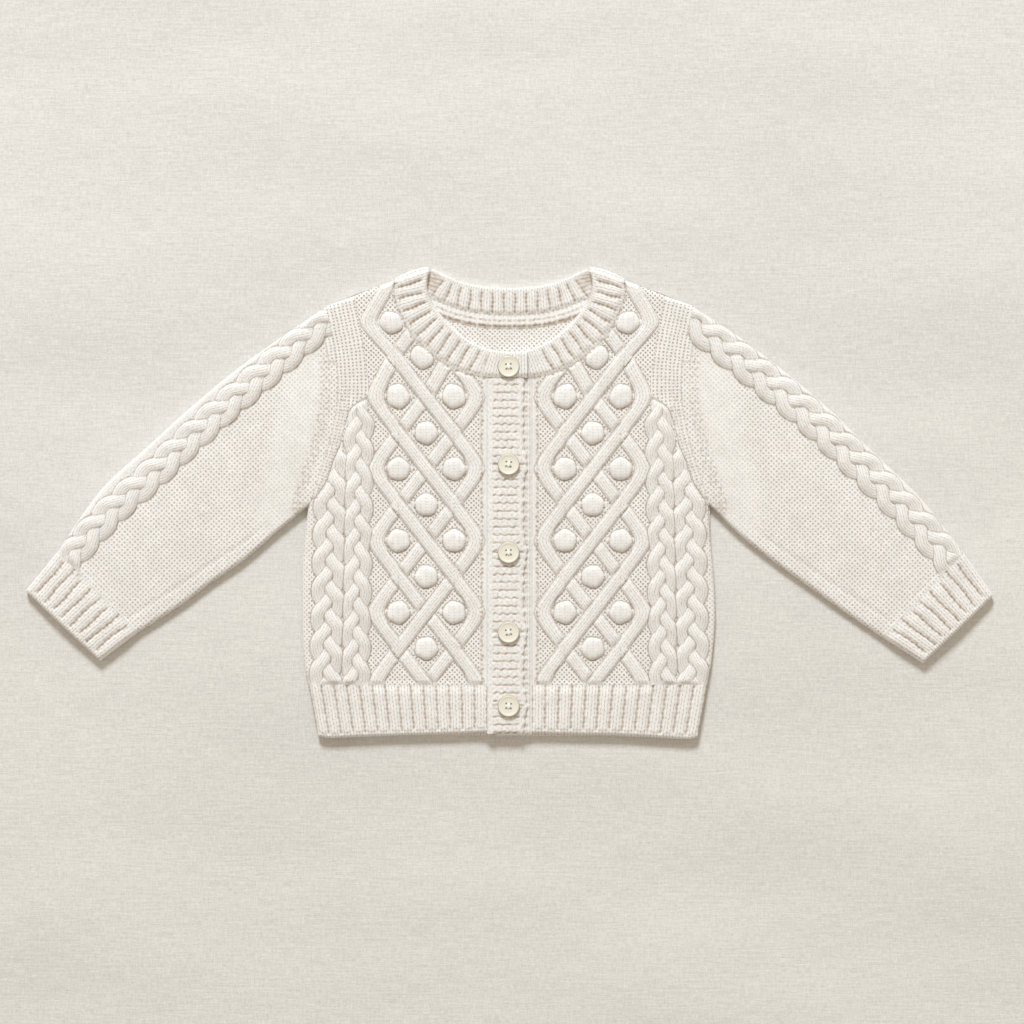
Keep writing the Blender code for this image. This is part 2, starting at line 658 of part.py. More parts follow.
def add_sleeve(side, name, material, parent):
    table = SLEEVES[side]
    line = smooth_curve(SLEEVE_PLAIT_LINES[side])
    cusp = SLEEVE_FIRST_CUSP[side]
    first, _ = beside(line, np.array([cusp.out]), np.array([cusp.level]))
    length = np.hypot(*np.diff(smooth_curve(table)[:, :2], axis=0).T).sum()
    places = spread(0, len(table) - 1, SLEEVE_ROW * (len(table) - 1) / length)
    places[0] += SEAM / 30
    places[-1] -= SEAM / 40
    plaited = np.array([0, 1.0, 3.0, 6.0, 9.5, 13.0, 16.5, 20.0, 23.5, 27.0, 31.0]) / 100
    parts = np.concatenate([plaited, [0.4, 0.52, 0.64, 0.76, 0.88, 0.97, 0.99, 1.0]])
    plan = tube_plan(table, places, parts)
    along, left = beside(line, plan[:, :, 0], plan[:, :, 1])
    down = along - first[0] - 1.25 * LOBE_PITCH
    height = plait_relief(down, left, SLEEVE_PLAIT_SWING[side], SLEEVE_PLAIT_HALF)
    made = add_object(name, tube(side, plan, parts, height), material, parent)
    few = np.concatenate([[places[0]], spread(0.3, len(table) - 1.3, 1.0), [places[-1]]])
    cut_slit(made, side, tube_plan(table, few, np.linspace(0, 1, 11)), parent)


def add_cuff(side, name, material, parent):
    table = (SLEEVES[side][-1], CUFF_ENDS[side])
    thirds = np.arange(0, CUFF_RIBS * 3 + 1) / (CUFF_RIBS * 3)
    parts = np.sort(np.concatenate([thirds, [0.012, 0.988]]))
    places = np.array([SEAM / 33, 0.12, 0.92, 1.0])
    ribbed = between(0, 0.1, places) * between(1.02, 0.92, places)
    height = ribs(parts * CUFF_RIBS + 0.5, 1) * ribbed[:, None] - 0.8 * between(0.9, 1.0, places)[:, None]
    plan = tube_plan(table, places, parts)
    made = add_object(name, tube(side, plan, parts, height), material, parent)
    cut_slit(made, side, tube_plan(table, places[[0, -1]], np.linspace(0, 1, 3)), parent)


def neckband():
    """A ribbed ring that folds over at each shoulder and laps at the front."""
    front_line = smooth_curve(NECK_FRONT, 12)
    back_line = smooth_curve(NECK_BACK, 12)
    stations = []
    lap = Band(-NECKBAND_LAP_END, 81.4, -NECKBAND_LAP_END, 98.3)
    right_front = np.concatenate([smooth_rows((lap, NECK_FRONT[0]), np.linspace(0, 0.99, 8)), front_line])
    under = Band(NECKBAND_UNDER_END, 81.4, NECKBAND_UNDER_END, 98.3)
    under_line = smooth_rows((NECK_FRONT[0], under), np.linspace(0.01, 1, 6))
    left_front = np.concatenate([front_line[::-1], under_line])
    stations += resampled(right_front, RIGHT, "front")
    stations += fold_stations(NECK_FRONT[-1], RIGHT, opening=True)
    stations += resampled(back_line, RIGHT, "back")[:-1]
    stations += resampled(back_line[::-1], LEFT, "back")
    stations += fold_stations(NECK_FRONT[-1], LEFT, opening=False)
    stations += resampled(left_front, LEFT, "under")
    return swept(np.array(stations))


def resampled(line, side, place):
    """Rings across the band at each third of a rib, following a line of seam and rim points."""
    middle = (line[:, :2] + line[:, 2:]) / 2
    travelled = np.concatenate([[0], np.cumsum(np.hypot(*np.diff(middle, axis=0).T))])
    count = round(travelled[-1] / NECK_RIB_PITCH) * 3
    rings = []
    for third in range(count + 1):
        row = [np.interp(third * travelled[-1] / count, travelled, line[:, n]) for n in range(4)]
        rings.append(band_ring(row, side, place, float(ribs(third / 3 + 0.5, 1))))
    return rings


def band_ring(row, side, place, rib):
    """A ring round the band's section, which lies with its inner face up behind the neck."""
    seam, rim = np.array(row[:2]), np.array(row[2:])
    across = (rim - seam) / math.hypot(*(rim - seam))
    seam = seam + across * SEAM
    x = side * (seam[0] + rim[0]) / 2
    if place == "back":
        inner, outer = WALL, 0.0
        inner_rib, outer_rib = rib * float(between(44.0, 36.0, np.array(abs(x)))), 0.0
    else:
        inner, outer = FRONT_LOW, FRONT_TOP
        ribbed = between(13.5, 20.0, np.array(x)) if place == "under" else between(10.0, 16.0, np.array(-x))
        inner_rib, outer_rib = 0.0, rib * float(ribbed)
        if place == "front":
            inner = FRONT_LOW + float(lap_rise(np.array(x)))
            outer = FRONT_TOP + float(lap_top(np.array(x)))
    length = math.hypot(*(rim - seam))
    ring = []
    for part, height in BAND_PROFILE:
        spot = seam + across * part * length
        rise = (height == 1) * outer_rib + (height == 0 and 0 < part < 1) * inner_rib
        ring.append((side * spot[0], spot[1], inner + height * (outer - inner) + rise))
    return ring


def fold_stations(row, side, opening):
    """Rings round the hairpin fold at a shoulder, from the front layer over to the back layer."""
    seam, rim = np.array(row[:2]), np.array(row[2:])
    across = (rim - seam) / math.hypot(*(rim - seam))
    seam = seam + across * SEAM
    length = math.hypot(*(rim - seam))
    centre_z = WALL + SEAM
    rings = []
    for angle in (45, 90, 135):
        ring = []
        for part, height in BAND_PROFILE:
            spot = seam + across * part * length
            radius = SEAM + height * WALL
            reach = radius * math.sin(math.radians(angle))
            z = centre_z + radius * math.cos(math.radians(angle))
            ring.append((side * spot[0], spot[1] + reach, z))
        rings.append(ring)
    return rings if opening else rings[::-1]


def buttonhole_band():
    """The lapping band, whose free edge swells a little at each button."""
    levels = spread(BAND_FOOT, BAND_HEAD - GAP, 8.0)
    rings = []
    for level in levels:
        swell = max(math.exp(-(((level - button) / 9.0) ** 2)) for button in BUTTON_LEVELS)
        edge = 9.2 + 2.4 * swell
        seam = -BAND_OUT + SEAM
        rings.append([
            (seam, level, FRONT_LOW), (LAP_START + 0.6, level, FRONT_LOW), (LAP_END - 0.4, level, LAP_LOW),
            (edge, level, LAP_LOW), (edge, level, LAP_TOP - 1.1), (edge - 1.4, level, LAP_TOP),
            (-3.0, level, LAP_TOP), (LAP_END, level, LAP_TOP - 0.1),
            (seam, level, FRONT_TOP + float(lap_top(np.array(seam))))])
    return swept(np.array(rings))


def button_band():
    rings = []
    for level in spread(BAND_FOOT - 1.2, BAND_HEAD - GAP, 33.0):
        rings.append([
            (BUTTON_BAND_REACH, level, FRONT_LOW), (BUTTON_BAND_REACH, level, FRONT_TOP - 0.8),
            (BUTTON_BAND_REACH + 1.2, level, FRONT_TOP), (BAND_OUT - GAP + SEAM, level, FRONT_TOP),
            (BAND_OUT - GAP + SEAM, level, FRONT_LOW)])
    return swept(np.array(rings))


def button(level):
    """A dished disc with a raised rim, turned round its own axis."""
    bm = bmesh.new()
    low = LAP_TOP + GAP
    verts = [bm.verts.new((radius * MM, 0, (low + height) * MM)) for radius, height in BUTTON_SECTION]
    edges = [bm.edges.new(pair) for pair in zip(verts[:-1], verts[1:])]
    bmesh.ops.spin(bm, geom=verts + edges, cent=(0, 0, 0), axis=(0, 0, 1), angle=2 * math.pi,
                   steps=BUTTON_STEPS, use_merge=True)
    bmesh.ops.remove_doubles(bm, verts=bm.verts, dist=1e-6)
    bmesh.ops.translate(bm, verts=bm.verts, vec=(BUTTON_OUT * MM, level * MM, 0))
    return bm


def clear_scene():
    for item in list(bpy.data.objects):
        bpy.data.objects.remove(item)


def main():
    clear_scene()
    garment = bpy.data.objects.new("cardigan", None)
    bpy.context.scene.collection.objects.link(garment)
    knit, rib_knit = wool("body_wool", WOOL), wool("rib_wool", RIB_WOOL)
    band_knit, cream = wool("band_wool", RIB_WOOL), wool("button_resin", BUTTON_CREAM, 0.35)
    add_object("back", back(), knit, garment)
    add_object("front_right", front(RIGHT), knit, garment)
    add_object("front_left", front(LEFT), knit, garment)
    add_sleeve(RIGHT, "sleeve_right", knit, garment)
    add_sleeve(LEFT, "sleeve_left", knit, garment)
    add_cuff(RIGHT, "cuff_right", rib_knit, garment)
    add_cuff(LEFT, "cuff_left", rib_knit, garment)
    add_object("hem_right", hem(RIGHT), rib_knit, garment)
    add_object("hem_left", hem(LEFT), rib_knit, garment)
    add_object("hem_back", hem_back(), rib_knit, garment)
    add_object("neckband", neckband(), rib_knit, garment)
    add_object("buttonhole_band", buttonhole_band(), band_knit, garment)
    add_object("button_band", button_band(), band_knit, garment)
    for number, level in enumerate(BUTTON_LEVELS, 1):
        add_object(f"button_{number}", button(level), cream, garment)


main()
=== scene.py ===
"""Dresses the baby cardigan's solids in knitted wool, lays it on linen and lights it.

Tables are in millimetres, and meshes in metres. X runs along the wingspan, Y from hem to neck and
Z up. "out" is a distance from the centre line, so one table serves both halves, and RIGHT and LEFT
are the wearer's sides.
"""

import math
from collections import namedtuple

import bmesh
import bpy
import numpy as np
from mathutils import Matrix


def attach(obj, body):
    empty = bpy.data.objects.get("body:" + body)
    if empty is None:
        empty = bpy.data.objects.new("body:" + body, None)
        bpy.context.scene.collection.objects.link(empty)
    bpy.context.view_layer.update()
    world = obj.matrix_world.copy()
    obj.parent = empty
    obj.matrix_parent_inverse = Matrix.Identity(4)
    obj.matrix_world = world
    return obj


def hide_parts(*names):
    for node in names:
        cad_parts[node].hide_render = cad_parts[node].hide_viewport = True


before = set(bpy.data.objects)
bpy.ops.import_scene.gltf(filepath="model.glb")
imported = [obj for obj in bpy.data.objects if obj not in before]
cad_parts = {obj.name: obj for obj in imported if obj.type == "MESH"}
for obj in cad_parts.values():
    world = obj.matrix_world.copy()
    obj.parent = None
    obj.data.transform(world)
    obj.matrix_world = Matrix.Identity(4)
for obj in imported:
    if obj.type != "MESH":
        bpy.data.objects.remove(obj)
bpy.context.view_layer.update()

MM = 0.001
RIGHT, LEFT = -1, 1

# ---------------------------------------------------------------- sizes

WALL = 3.0
GAP = 0.3
SEAM = -0.1  # knitted edges close over the gap between the solids
FRONT_LOW = WALL + GAP
FRONT_TOP = FRONT_LOW + WALL
FOLD_RADIUS = 3.4
FOLD_LOW = FRONT_LOW + 0.8
WALL_FOOT = 1.0  # height of the back's edge above the surface that it lies on
HEM_TOP = -118.0

BAND_OUT = 14.6
LAP_LOW = FRONT_TOP + GAP
LAP_TOP = LAP_LOW + WALL
LAP_START, LAP_END = -14.0, -10.2
BAND_HEAD = 81.4
BAND_FOOT = -149.6
BUTTONHOLE_BAND_WIDE = 24.5
BUTTON_BAND_WIDE = 23.2
BUTTON_BAND_REACH = -8.8
NECKBAND_UNDER_END = -8.4
NECKBAND_LAP_END = 11.6

BUTTON_OUT = -0.6
BUTTON_LEVELS = (88.6, 25.2, -32.0, -83.7, -131.5)
BUTTON_TURNS = (4, -6, 3, 8, -3)  # degrees
BUTTON_LOW = LAP_TOP + GAP

COLUMN_PITCH = 18.1
ROW_PITCH = 23.335
ROPE_HALF = 4.2
ROPE_HIGH = 1.35
TUCKED = 0.2  # share of its height that a rope keeps where it passes under another
TURN_ROUNDING = 0.2
SINGLE_ROPE_ROW = -2.2  # above this row of the lattice no rope passes under another
LAST_BOBBLE_ROW = 7
BOBBLE_RADIUS = 7.5
BOBBLE_HIGH = 2.5
EAR_HIGH, EAR_OUT, EAR_RADIUS = 0.4, 7.8, 1.9  # the small stitches on each side of a bobble
MIDDLE_OUT = 54.1  # middle of the lattice
PANEL_OUT = MIDDLE_OUT + 2 * COLUMN_PITCH
SIDE_WIDE = 42.0  # from the lattice to the side

LOBE_PITCH = 18.1
PLAIT_HIGH = 2.2
PLAIT_WEAVE = 0.8
PLAIT_SQUARE = -0.09  # below 0, a strand turns sharply at the edges of the plait
PLAIT_HEAD_LEVEL, PLAIT_FOOT_LEVEL = 0.0, -118.0

RIB_HIGH = 1.3
RIB_SWELL = 0.25
RIB_START = 0.25  # share of its height that a rib has at its seam with moss stitch
PLAIT_RIB_START = 1.0  # and at its seam with a plait
RIB_LONG = 33.0
HEM_WIDE = 115.0
NECK_RIB_PITCH = 7.5
HEM_RIB_PITCH = 8.6
CUFF_RIBS = 9
CUFF_WIDE = 72.0
GARTER_PITCH = 5.13
GARTER_HIGH = 0.95
RIDGE_WIDE = 7.6
RIDGE_HIGH = 0.9
PICKED_UP = 3.4  # from the seam to the line where a band's stitches were picked up

SHOULDER_DEEP = 40.0  # below the shoulder the back's rows straighten over this distance
TIP_FALL = 28.0  # and fall by this much at the side

SLEEVE_DOME = 1.2
SLIT_HIGH = 0.5
SLEEVE_ROW_LONG = 38.0  # usual distance between two rows of a sleeve's table
ARMHOLE_FADE = 0.55

# Fineness of the meshes
FRONT_STEP = 0.66
FAN_STEP = 0.055
SLEEVE_STEP = 0.72
BACK_STEP = 0.75
RIB_STEP = 0.6
EDGE_STEP = 1.5

# The dark line beside a raised cord is painted shade
SHADE_LINE_REACH = 0.7  # reach of the dark line beside a raised cord

# Sections of cords that are rounder than a rope, as flatness and steepness
PLAIT_SECTION, BOBBLE_SECTION, EAR_SECTION = (2.6, 0.7), (3.2, 0.6), (2.0, 0.6)

# Size of a stitch, across and along, in each kind of knitting
Stitch = namedtuple("Stitch", "across along")
CORD_STITCH = Stitch(3.3, 3.0)
RIB_STITCH = Stitch(4.2, 2.9)
RIB_PLACE = Stitch(0.5, 2.9)  # across, in ribs
FRONT_MOSS = Stitch(3.1, 3.1)
SLEEVE_MOSS = Stitch(3.4, 3.4)
BACK_MOSS = Stitch(3.2, 3.1)
GARTER_STITCH = Stitch(3.1, GARTER_PITCH)
YOKE_COLUMNS = Stitch(5.2, 2.1)
BOBBLE_STITCH = Stitch(3.6, 2.0)
EAR_STITCH = Stitch(3.2, 2.4)
RIDGE_STITCH = Stitch(6.2, 3.4)

# The under corners of a piece, each as end column, inset and height
FRONT_UNDERSIDE = ((-1, 0.0, FRONT_LOW), (0, 0.0, FRONT_LOW))
LAP_UNDERSIDE = ((-1, 0.0, LAP_LOW), (0, 0.0, FRONT_LOW))
BACK_UNDERSIDE = ((-1, 0.0, WALL_FOOT), (-1, 1.4, 0.0), (0, 1.4, 0.0), (0, 0.0, WALL_FOOT))


def table(kind, *rows):
    """A table whose columns have names."""
    return tuple(kind(*row) for row in rows)


Plait = namedtuple("Plait", "head_out foot_out swing half_width lobe_level top_level")
FRONT_PLAITS = table(Plait, (116.2, 119.0, 6.2, 5.1, -2.4, 44.0),
                     (98.6, 100.4, 5.2, 4.7, -13.0, 68.0))

Side = namedtuple("Side", "level right_out left_out")
BODY_SIDE = table(
    Side, (-153.0, 124.4, 122.6), (-141.0, 126.4, 125.2), (-118.0, 130.8, 128.7),
    (-102.0, 133.6, 131.5), (-76.0, 134.9, 133.6), (-50.0, 134.9, 132.9), (-24.0, 133.6, 130.6),
    (-1.6, 130.8, 129.4))

Seam = namedtuple("Seam", "level out")
ARMHOLE = table(
    Seam, (-1.6, 130.3), (18.3, 123.8), (34.6, 118.6), (50.8, 114.7), (67.1, 112.1), (83.3, 111.8),
    (99.6, 113.4), (112.6, 116.0), (128.2, 119.3))
# Inner edge of the stitch columns that lap over the tops of the plaits
YOKE_EDGE = table(
    Seam, (3.0, 127.0), (14.4, 119.4), (28.1, 114.6), (39.1, 110.0), (54.1, 106.3), (62.0, 103.0),
    (70.0, 92.0), (74.0, 84.0), (150.0, 84.0))

# From the neck up, a front's rows fan from the armhole to the neck seam
FAN_LEVEL = 82.0
Fan = namedtuple("Fan", "side_level panel_out panel_level neck_out neck_level")
NECK_FAN = table(
    Fan, (84.5, 91.0, 83.2, 14.6, 81.6), (96.0, 92.4, 92.0, 28.6, 84.5),
    (104.0, 93.2, 99.0, 40.0, 89.2), (110.5, 94.2, 106.5, 51.5, 97.8),
    (116.0, 95.4, 114.5, 62.9, 108.4), (120.5, 97.0, 122.0, 69.6, 120.4),
    (124.5, 98.6, 129.4, 74.6, 133.1), (128.2, 99.8, 136.0, 75.4, 144.8))

Lattice = namedtuple("Lattice", "level row middle_out")
LATTICE = table(
    Lattice, (69.03 - 9 * ROW_PITCH, 9, MIDDLE_OUT), (69.03, 0, MIDDLE_OUT), (95.7, -1, 56.9),
    (117.1, -2, 58.9), (141.0, -3, 61.0))
# Crossings where the other strand lies on top, on the right front, as column and row
SWAPPED_CROSSINGS = ((0, 6), (1, 7))

Sleeve = namedtuple("Sleeve", "top_out top_level low_out low_level")
SLEEVES = {
    RIGHT: table(
        Sleeve, (119.3, 128.2, 130.3, -1.6), (151.1, 106.4, 151.5, -18.6),
        (180.0, 85.4, 171.9, -36.3), (209.0, 61.2, 193.0, -50.8), (238.0, 34.8, 211.0, -64.2),
        (267.0, 7.6, 227.0, -74.8), (294.0, -31.0, 241.5, -83.9)),
    LEFT: table(
        Sleeve, (119.3, 128.2, 130.3, -1.6), (150.5, 107.5, 150.0, -20.6),
        (180.0, 85.0, 171.0, -37.2), (209.5, 60.0, 192.0, -52.2), (238.5, 31.5, 211.5, -66.2),
        (267.0, 3.8, 228.0, -77.5), (295.4, -31.7, 242.1, -87.0)),
}
CUFF_ENDS = {RIGHT: Sleeve(314.9, -56.7, 266.2, -102.6), LEFT: Sleeve(314.9, -59.9, 268.6, -104.1)}

Point = namedtuple("Point", "out level")
SLEEVE_PLAIT_LINES = {
    RIGHT: table(Point, (113.0, 124.0), (139.0, 102.0), (193.0, 55.1), (232.8, 17.8),
                 (258.4, -5.1), (284.4, -33.7), (296.0, -48.0)),
    LEFT: table(Point, (113.0, 124.5), (136.5, 104.0), (190.6, 60.0), (229.5, 23.0),
                (255.5, -3.0), (283.0, -33.0), (294.0, -47.0)),
}
SLEEVE_PLAIT_SWING = {RIGHT: 5.6, LEFT: 6.4}
SLEEVE_PLAIT_HALF = 5.0
SLEEVE_FIRST_CUSP = {RIGHT: Point(133.0, 95.6), LEFT: Point(128.8, 96.1)}
# centre of the painted shadow on the sleeve at the underarm
UNDERARM = Point(134.0, -6.0)

HEM_FOOT = {
    RIGHT: table(Point, (BAND_OUT, -148.9), (43.9, -150.0), (69.9, -150.7), (95.9, -151.6),
                 (117.0, -152.7), (124.6, -151.0)),
    LEFT: table(Point, (BAND_OUT, -149.5), (47.1, -150.3), (73.1, -150.7), (99.1, -152.3),
                (117.0, -153.3), (122.4, -151.4)),
}
BACK_FOOT = table(Point, (-123.4, -151.0), (-60.0, -150.2), (0.0, -151.6), (60.0, -150.2),
                  (121.6, -151.6))
BACK_SHOULDER = table(Point, (119.3, 128.2), (99.8, 136.0), (75.4, 144.8))

Band = namedtuple("Band", "seam_out seam_level rim_out rim_level")
NECK_FRONT = table(
    Band, (0.0, 81.4, 0.0, 98.3), (15.0, 81.7, 9.8, 99.3), (28.6, 84.5, 18.9, 102.2),
    (40.0, 89.2, 28.6, 107.4), (51.5, 97.8, 38.4, 115.8), (62.9, 108.4, 45.0, 123.2),
    (67.6, 116.9, 48.5, 128.2), (72.2, 126.4, 51.4, 133.1), (74.8, 134.5, 53.4, 139.5),
    (75.1, 138.6, 53.0, 145.2), (74.9, 142.2, 51.8, 150.2))
NECK_BACK = table(
    Band, (74.9, 142.2, 51.8, 150.2), (71.5, 140.9, 50.2, 152.3), (60.5, 137.0, 45.5, 150.4),
    (47.1, 131.4, 38.2, 146.9), (35.8, 127.0, 31.5, 144.2), (24.6, 124.0, 23.0, 142.0),
    (12.0, 122.5, 12.0, 140.5), (0.0, 122.1, 0.0, 139.9))


# ---------------------------------------------------------------- curves


def smooth_rows(rows, places):
    """Rows of a table at fractional row numbers, on a smooth curve through its own rows."""
    rows = np.asarray(rows, float)
    places = np.clip(np.atleast_1d(places).astype(float), 0, len(rows) - 1)
    start = np.minimum(places.astype(int), len(rows) - 2)
    part = (places - start)[:, None]
    padded = np.vstack([2 * rows[0] - rows[1], rows, 2 * rows[-1] - rows[-2]])
    before, here, after, beyond = (padded[start + n] for n in range(4))
    return 0.5 * (
        2 * here
        + (after - before) * part
        + (2 * before - 5 * here + 4 * after - beyond) * part**2
        + (3 * here - before - 3 * after + beyond) * part**3
    )


def smooth_curve(rows, steps=8):
    """The table's rows with smooth rows set in between them."""
    return smooth_rows(rows, np.linspace(0, len(rows) - 1, (len(rows) - 1) * steps + 1))


def spread(low, high, step):
    """Places from low to high, about one step apart."""
    return np.linspace(low, high, max(1, round(abs(high - low) / step)) + 1)


def between(low, high, value):
    """0 up to low, 1 from high, and a smooth rise between them."""
    part = np.clip((value - low) / (high - low), 0, 1)
    return part * part * (3 - 2 * part)


def window(start, full, last, end, value):
    """1 from full to last, and a smooth fall to 0 at start and end."""
    return between(start, full, value) * between(end, last, value)


def cord_section(distance, radius, flatness=3.6, steepness=0.6):
    """The section of a knitted cord: nearly flat on top, with steep sides."""
    return np.clip(1 - np.abs(distance / radius) ** flatness, 0, None) ** steepness


def beside(line, out, level):
    """How far along a line of points each place lies, and how far to its left."""
    along = np.zeros_like(out)
    left = np.full_like(out, 1e6)
    travelled = 0.0
    for start, end in zip(line[:-1], line[1:]):
        step = end - start
        length = math.hypot(*step)
        east, north = out - start[0], level - start[1]
        part = np.clip((east * step[0] + north * step[1]) / length**2, 0, 1)
        distance = np.hypot(east - part * step[0], north - part * step[1])
        side = np.sign(step[0] * north - step[1] * east)
        nearer = distance < np.abs(left)
        left = np.where(nearer, np.where(side == 0, 1, side) * distance, left)
        along = np.where(nearer, travelled + part * length, along)
        travelled += length
    return along, left


def dashes(across, along, width):
    """1 in the uneven dashes of a line of stitches, and 0 beside it."""
    wander = 0.35 * np.sin(along * 0.9) + 0.25 * np.sin(along * 2.3 + 1.0)
    beat = 0.55 + 0.3 * np.sin(along * 2 * math.pi / 3.1) + 0.2 * np.sin(along * 0.7 + 2.0)
    return np.clip(np.exp(-(((across - wander) / width) ** 2)) * beat, 0, 1)


def deepest(*shades_and_marks):
    """The strongest of several painted shades and marks at each place, from 0 to 1."""
    return np.max(shades_and_marks, axis=0).clip(0, 1)


def blurred(values, radius):
    """Values smoothed over a number of grid cells."""
    reach = 2 * radius
    weights = np.exp(-0.5 * (np.arange(-reach, reach + 1) / radius) ** 2)
    weights /= weights.sum()
    rows, columns = values.shape
    padded = np.pad(values, reach, mode="edge")
    padded = sum(weight * padded[n:n + rows] for n, weight in enumerate(weights))
    return sum(weight * padded[:, n:n + columns] for n, weight in enumerate(weights))


def side_out(level, side):
    """The body's half width, from hem to shoulder tip."""
    body = smooth_curve(BODY_SIDE)
    arm = smooth_curve(ARMHOLE)
    below = np.interp(level, body[:, 0], body[:, 1 if side == RIGHT else 2])
    above = np.interp(level, arm[:, 0], arm[:, 1])
    return np.where(level < ARMHOLE[0].level, below, above - SEAM)


def armhole_line():
    """Points along the seam between front and sleeve."""
    return smooth_curve([(seam.out, seam.level) for seam in ARMHOLE])


def neck_line(rows):
    """Points along the seam of the neckband."""
    return smooth_curve([(row.seam_out, row.seam_level) for row in rows])


def softened(height, distance, low):
    """A top face that rolls down to low at a fold."""
    part = np.clip(distance / FOLD_RADIUS, 0, 1)
    return low + (height - low) * np.sqrt(1 - (1 - part) ** 2)


def lap_rise(x):
    """How far the right front's bands are lifted where they lap over the button band."""
    return (LAP_LOW - FRONT_LOW) * between(LAP_START, LAP_END, x)


def lap_top(x):
    """The same lift on the upper face, where it starts sooner and ends as it does."""
    return (LAP_TOP - FRONT_TOP) * between(LAP_START - 6, LAP_END, x)


# ---------------------------------------------------------------- knitting


class Knitting:
    """The outer face of a piece: its height, and where each place lies among the stitches.

    columns is 0 for dotted moss stitch and 1 for columns of knit stitches, and depth is how deep
    the stitches are, which sets their bump and how much shade is painted in their gaps.
    """

    def __init__(self, across, along, stitch, columns=0.0, depth=1.0):
        self.height = np.zeros_like(across)
        self.across = across / stitch.across
        self.along = along / stitch.along
        self.columns = np.full_like(across, columns)
        self.depth = np.full_like(across, depth)

    def lay(self, height, across, along, stitch=CORD_STITCH, columns=1.0, depth=0.62, where=True):
        """Lays another layer wherever it is higher than what is there."""
        over = where & (height > self.height)
        self.height = np.where(over, height, self.height)
        self.across = np.where(over, across / stitch.across, self.across)
        self.along = np.where(over, along / stitch.along, self.along)
        self.columns = np.where(over, columns, self.columns)
        self.depth = np.where(over, depth, self.depth)

    def shades_and_marks(self, step):
        """Painted shade from how deep each place lies below what is near it, from 0 to 1."""
        near = blurred(self.height, max(1, round(SHADE_LINE_REACH / step))) - self.height
        return np.clip(near / 0.14 - 0.12, 0, 1)


def lay_plait(knitting, down, across, swing, half_width, clear=1.0):
    """Three strands plaited, with an outer lobe on each side every LOBE_PITCH."""
    for strand in range(3):
        turn = 2 * math.pi * (down / (3 * LOBE_PITCH) + strand / 3)
        steep = (np.cos(turn) + 3 * PLAIT_SQUARE * np.cos(3 * turn)) / (1 - PLAIT_SQUARE)
        sway = (np.sin(turn) + PLAIT_SQUARE * np.sin(3 * turn)) / (1 - PLAIT_SQUARE)
        lean = np.arctan(swing * steep * 2 * math.pi / (3 * LOBE_PITCH))
        off = (across - swing * sway) * np.cos(lean)
        rise = PLAIT_HIGH + PLAIT_WEAVE * np.sin(2 * turn)
        height = clear * rise * cord_section(off, half_width, *PLAIT_SECTION)
        knitting.lay(height, off, down / np.cos(lean), where=clear * height > 0.05)


def lattice_place(out, level):
    """Column and row numbers in the lattice, which spreads a little towards the shoulder."""
    levels, rows, middles = np.array(LATTICE).T
    return (out - np.interp(level, levels, middles)) / COLUMN_PITCH, np.interp(level, levels, rows)


def tucked(distance):
    """Share of its height that a rope has at a distance from the one it passes under."""
    clear = between(1.02 * ROPE_HALF, 1.7 * ROPE_HALF, np.abs(distance))
    return TUCKED + (1 - TUCKED) * clear


def lay_ropes(knitting, column, row, side):
    """Ropes that cross in diamonds, and turn back at the sides of the lattice."""
    unit = math.hypot(COLUMN_PITCH, ROW_PITCH) / 2
    across = COLUMN_PITCH * ROW_PITCH / (2 * unit)
    falling, rising = column + row, column - row
    off_falling = (falling - 2 * np.round(falling / 2)) * across
    off_rising = (rising - 2 * np.round(rising / 2)) * across
    single = row < SINGLE_ROPE_ROW
    swapped = single
    if side == RIGHT:
        for node_column, node_row in SWAPPED_CROSSINGS:
            swapped = swapped | (np.hypot(column - node_column, row - node_row) < 0.6)
    over = np.where(swapped, off_rising, off_falling)
    under = np.where(swapped, off_falling, off_rising)
    under = np.where(single, 2 * ROPE_HALF, under)
    inside = np.abs(column) <= 1.0
    knitting.lay(ROPE_HIGH * cord_section(over, ROPE_HALF), over,
                 np.where(swapped, falling, rising) * unit, where=inside)
    knitting.lay(ROPE_HIGH * tucked(over) * cord_section(under, ROPE_HALF), under,
                 np.where(swapped, rising, falling) * unit, where=inside)
    turn = np.abs(row - 2 * np.round(row / 2))
    off_outer = (np.abs(column) - 2 + np.hypot(turn, TURN_ROUNDING)) * across
    dips = (np.abs(column) < 1.4) & (column * (row - np.round(row)) > 0) & (row > SINGLE_ROPE_ROW)
    dips &= np.abs(off_falling) >= ROPE_HALF
    height = ROPE_HIGH * np.where(dips, tucked(off_falling), 1.0)
    knitting.lay(height * cord_section(off_outer, ROPE_HALF), off_outer, row * ROW_PITCH * 1.2,
                 where=(np.abs(column) > 1.0) & (np.abs(column) < 2.4))


def lay_bobbles(knitting, column, row):
    """A bobble in each diamond, with a small stitch on each side of it."""
    nearest_row = np.round(row)
    nearest_column = 2 * np.round((column + nearest_row + 1) / 2) - nearest_row - 1
    nearest_column = np.clip(nearest_column, -1, 1)
    odd = np.mod(nearest_column + nearest_row, 2) == 1
    odd &= nearest_row <= LAST_BOBBLE_ROW
    east = (column - nearest_column) * COLUMN_PITCH
    north = -(row - nearest_row) * ROW_PITCH
    from_ear = np.hypot(np.abs(east) - EAR_OUT, north - 0.6)
    knitting.lay(EAR_HIGH * cord_section(from_ear, EAR_RADIUS, *EAR_SECTION), east, north,
                 EAR_STITCH, columns=0.3, depth=0.3, where=odd)
    uneven = 0.22 * np.sin(5 * np.arctan2(north, east) + nearest_row + nearest_column)
    ball = cord_section(np.hypot(east, north) + uneven, BOBBLE_RADIUS, *BOBBLE_SECTION)
    puckers = np.cos(east * 2 * math.pi / 2.7) * np.cos(north * 2 * math.pi / 2.4)
    knitting.lay(BOBBLE_HIGH * ball * (1 + 0.03 * puckers), east, north, BOBBLE_STITCH,
                 columns=0.08, depth=0.24, where=odd)


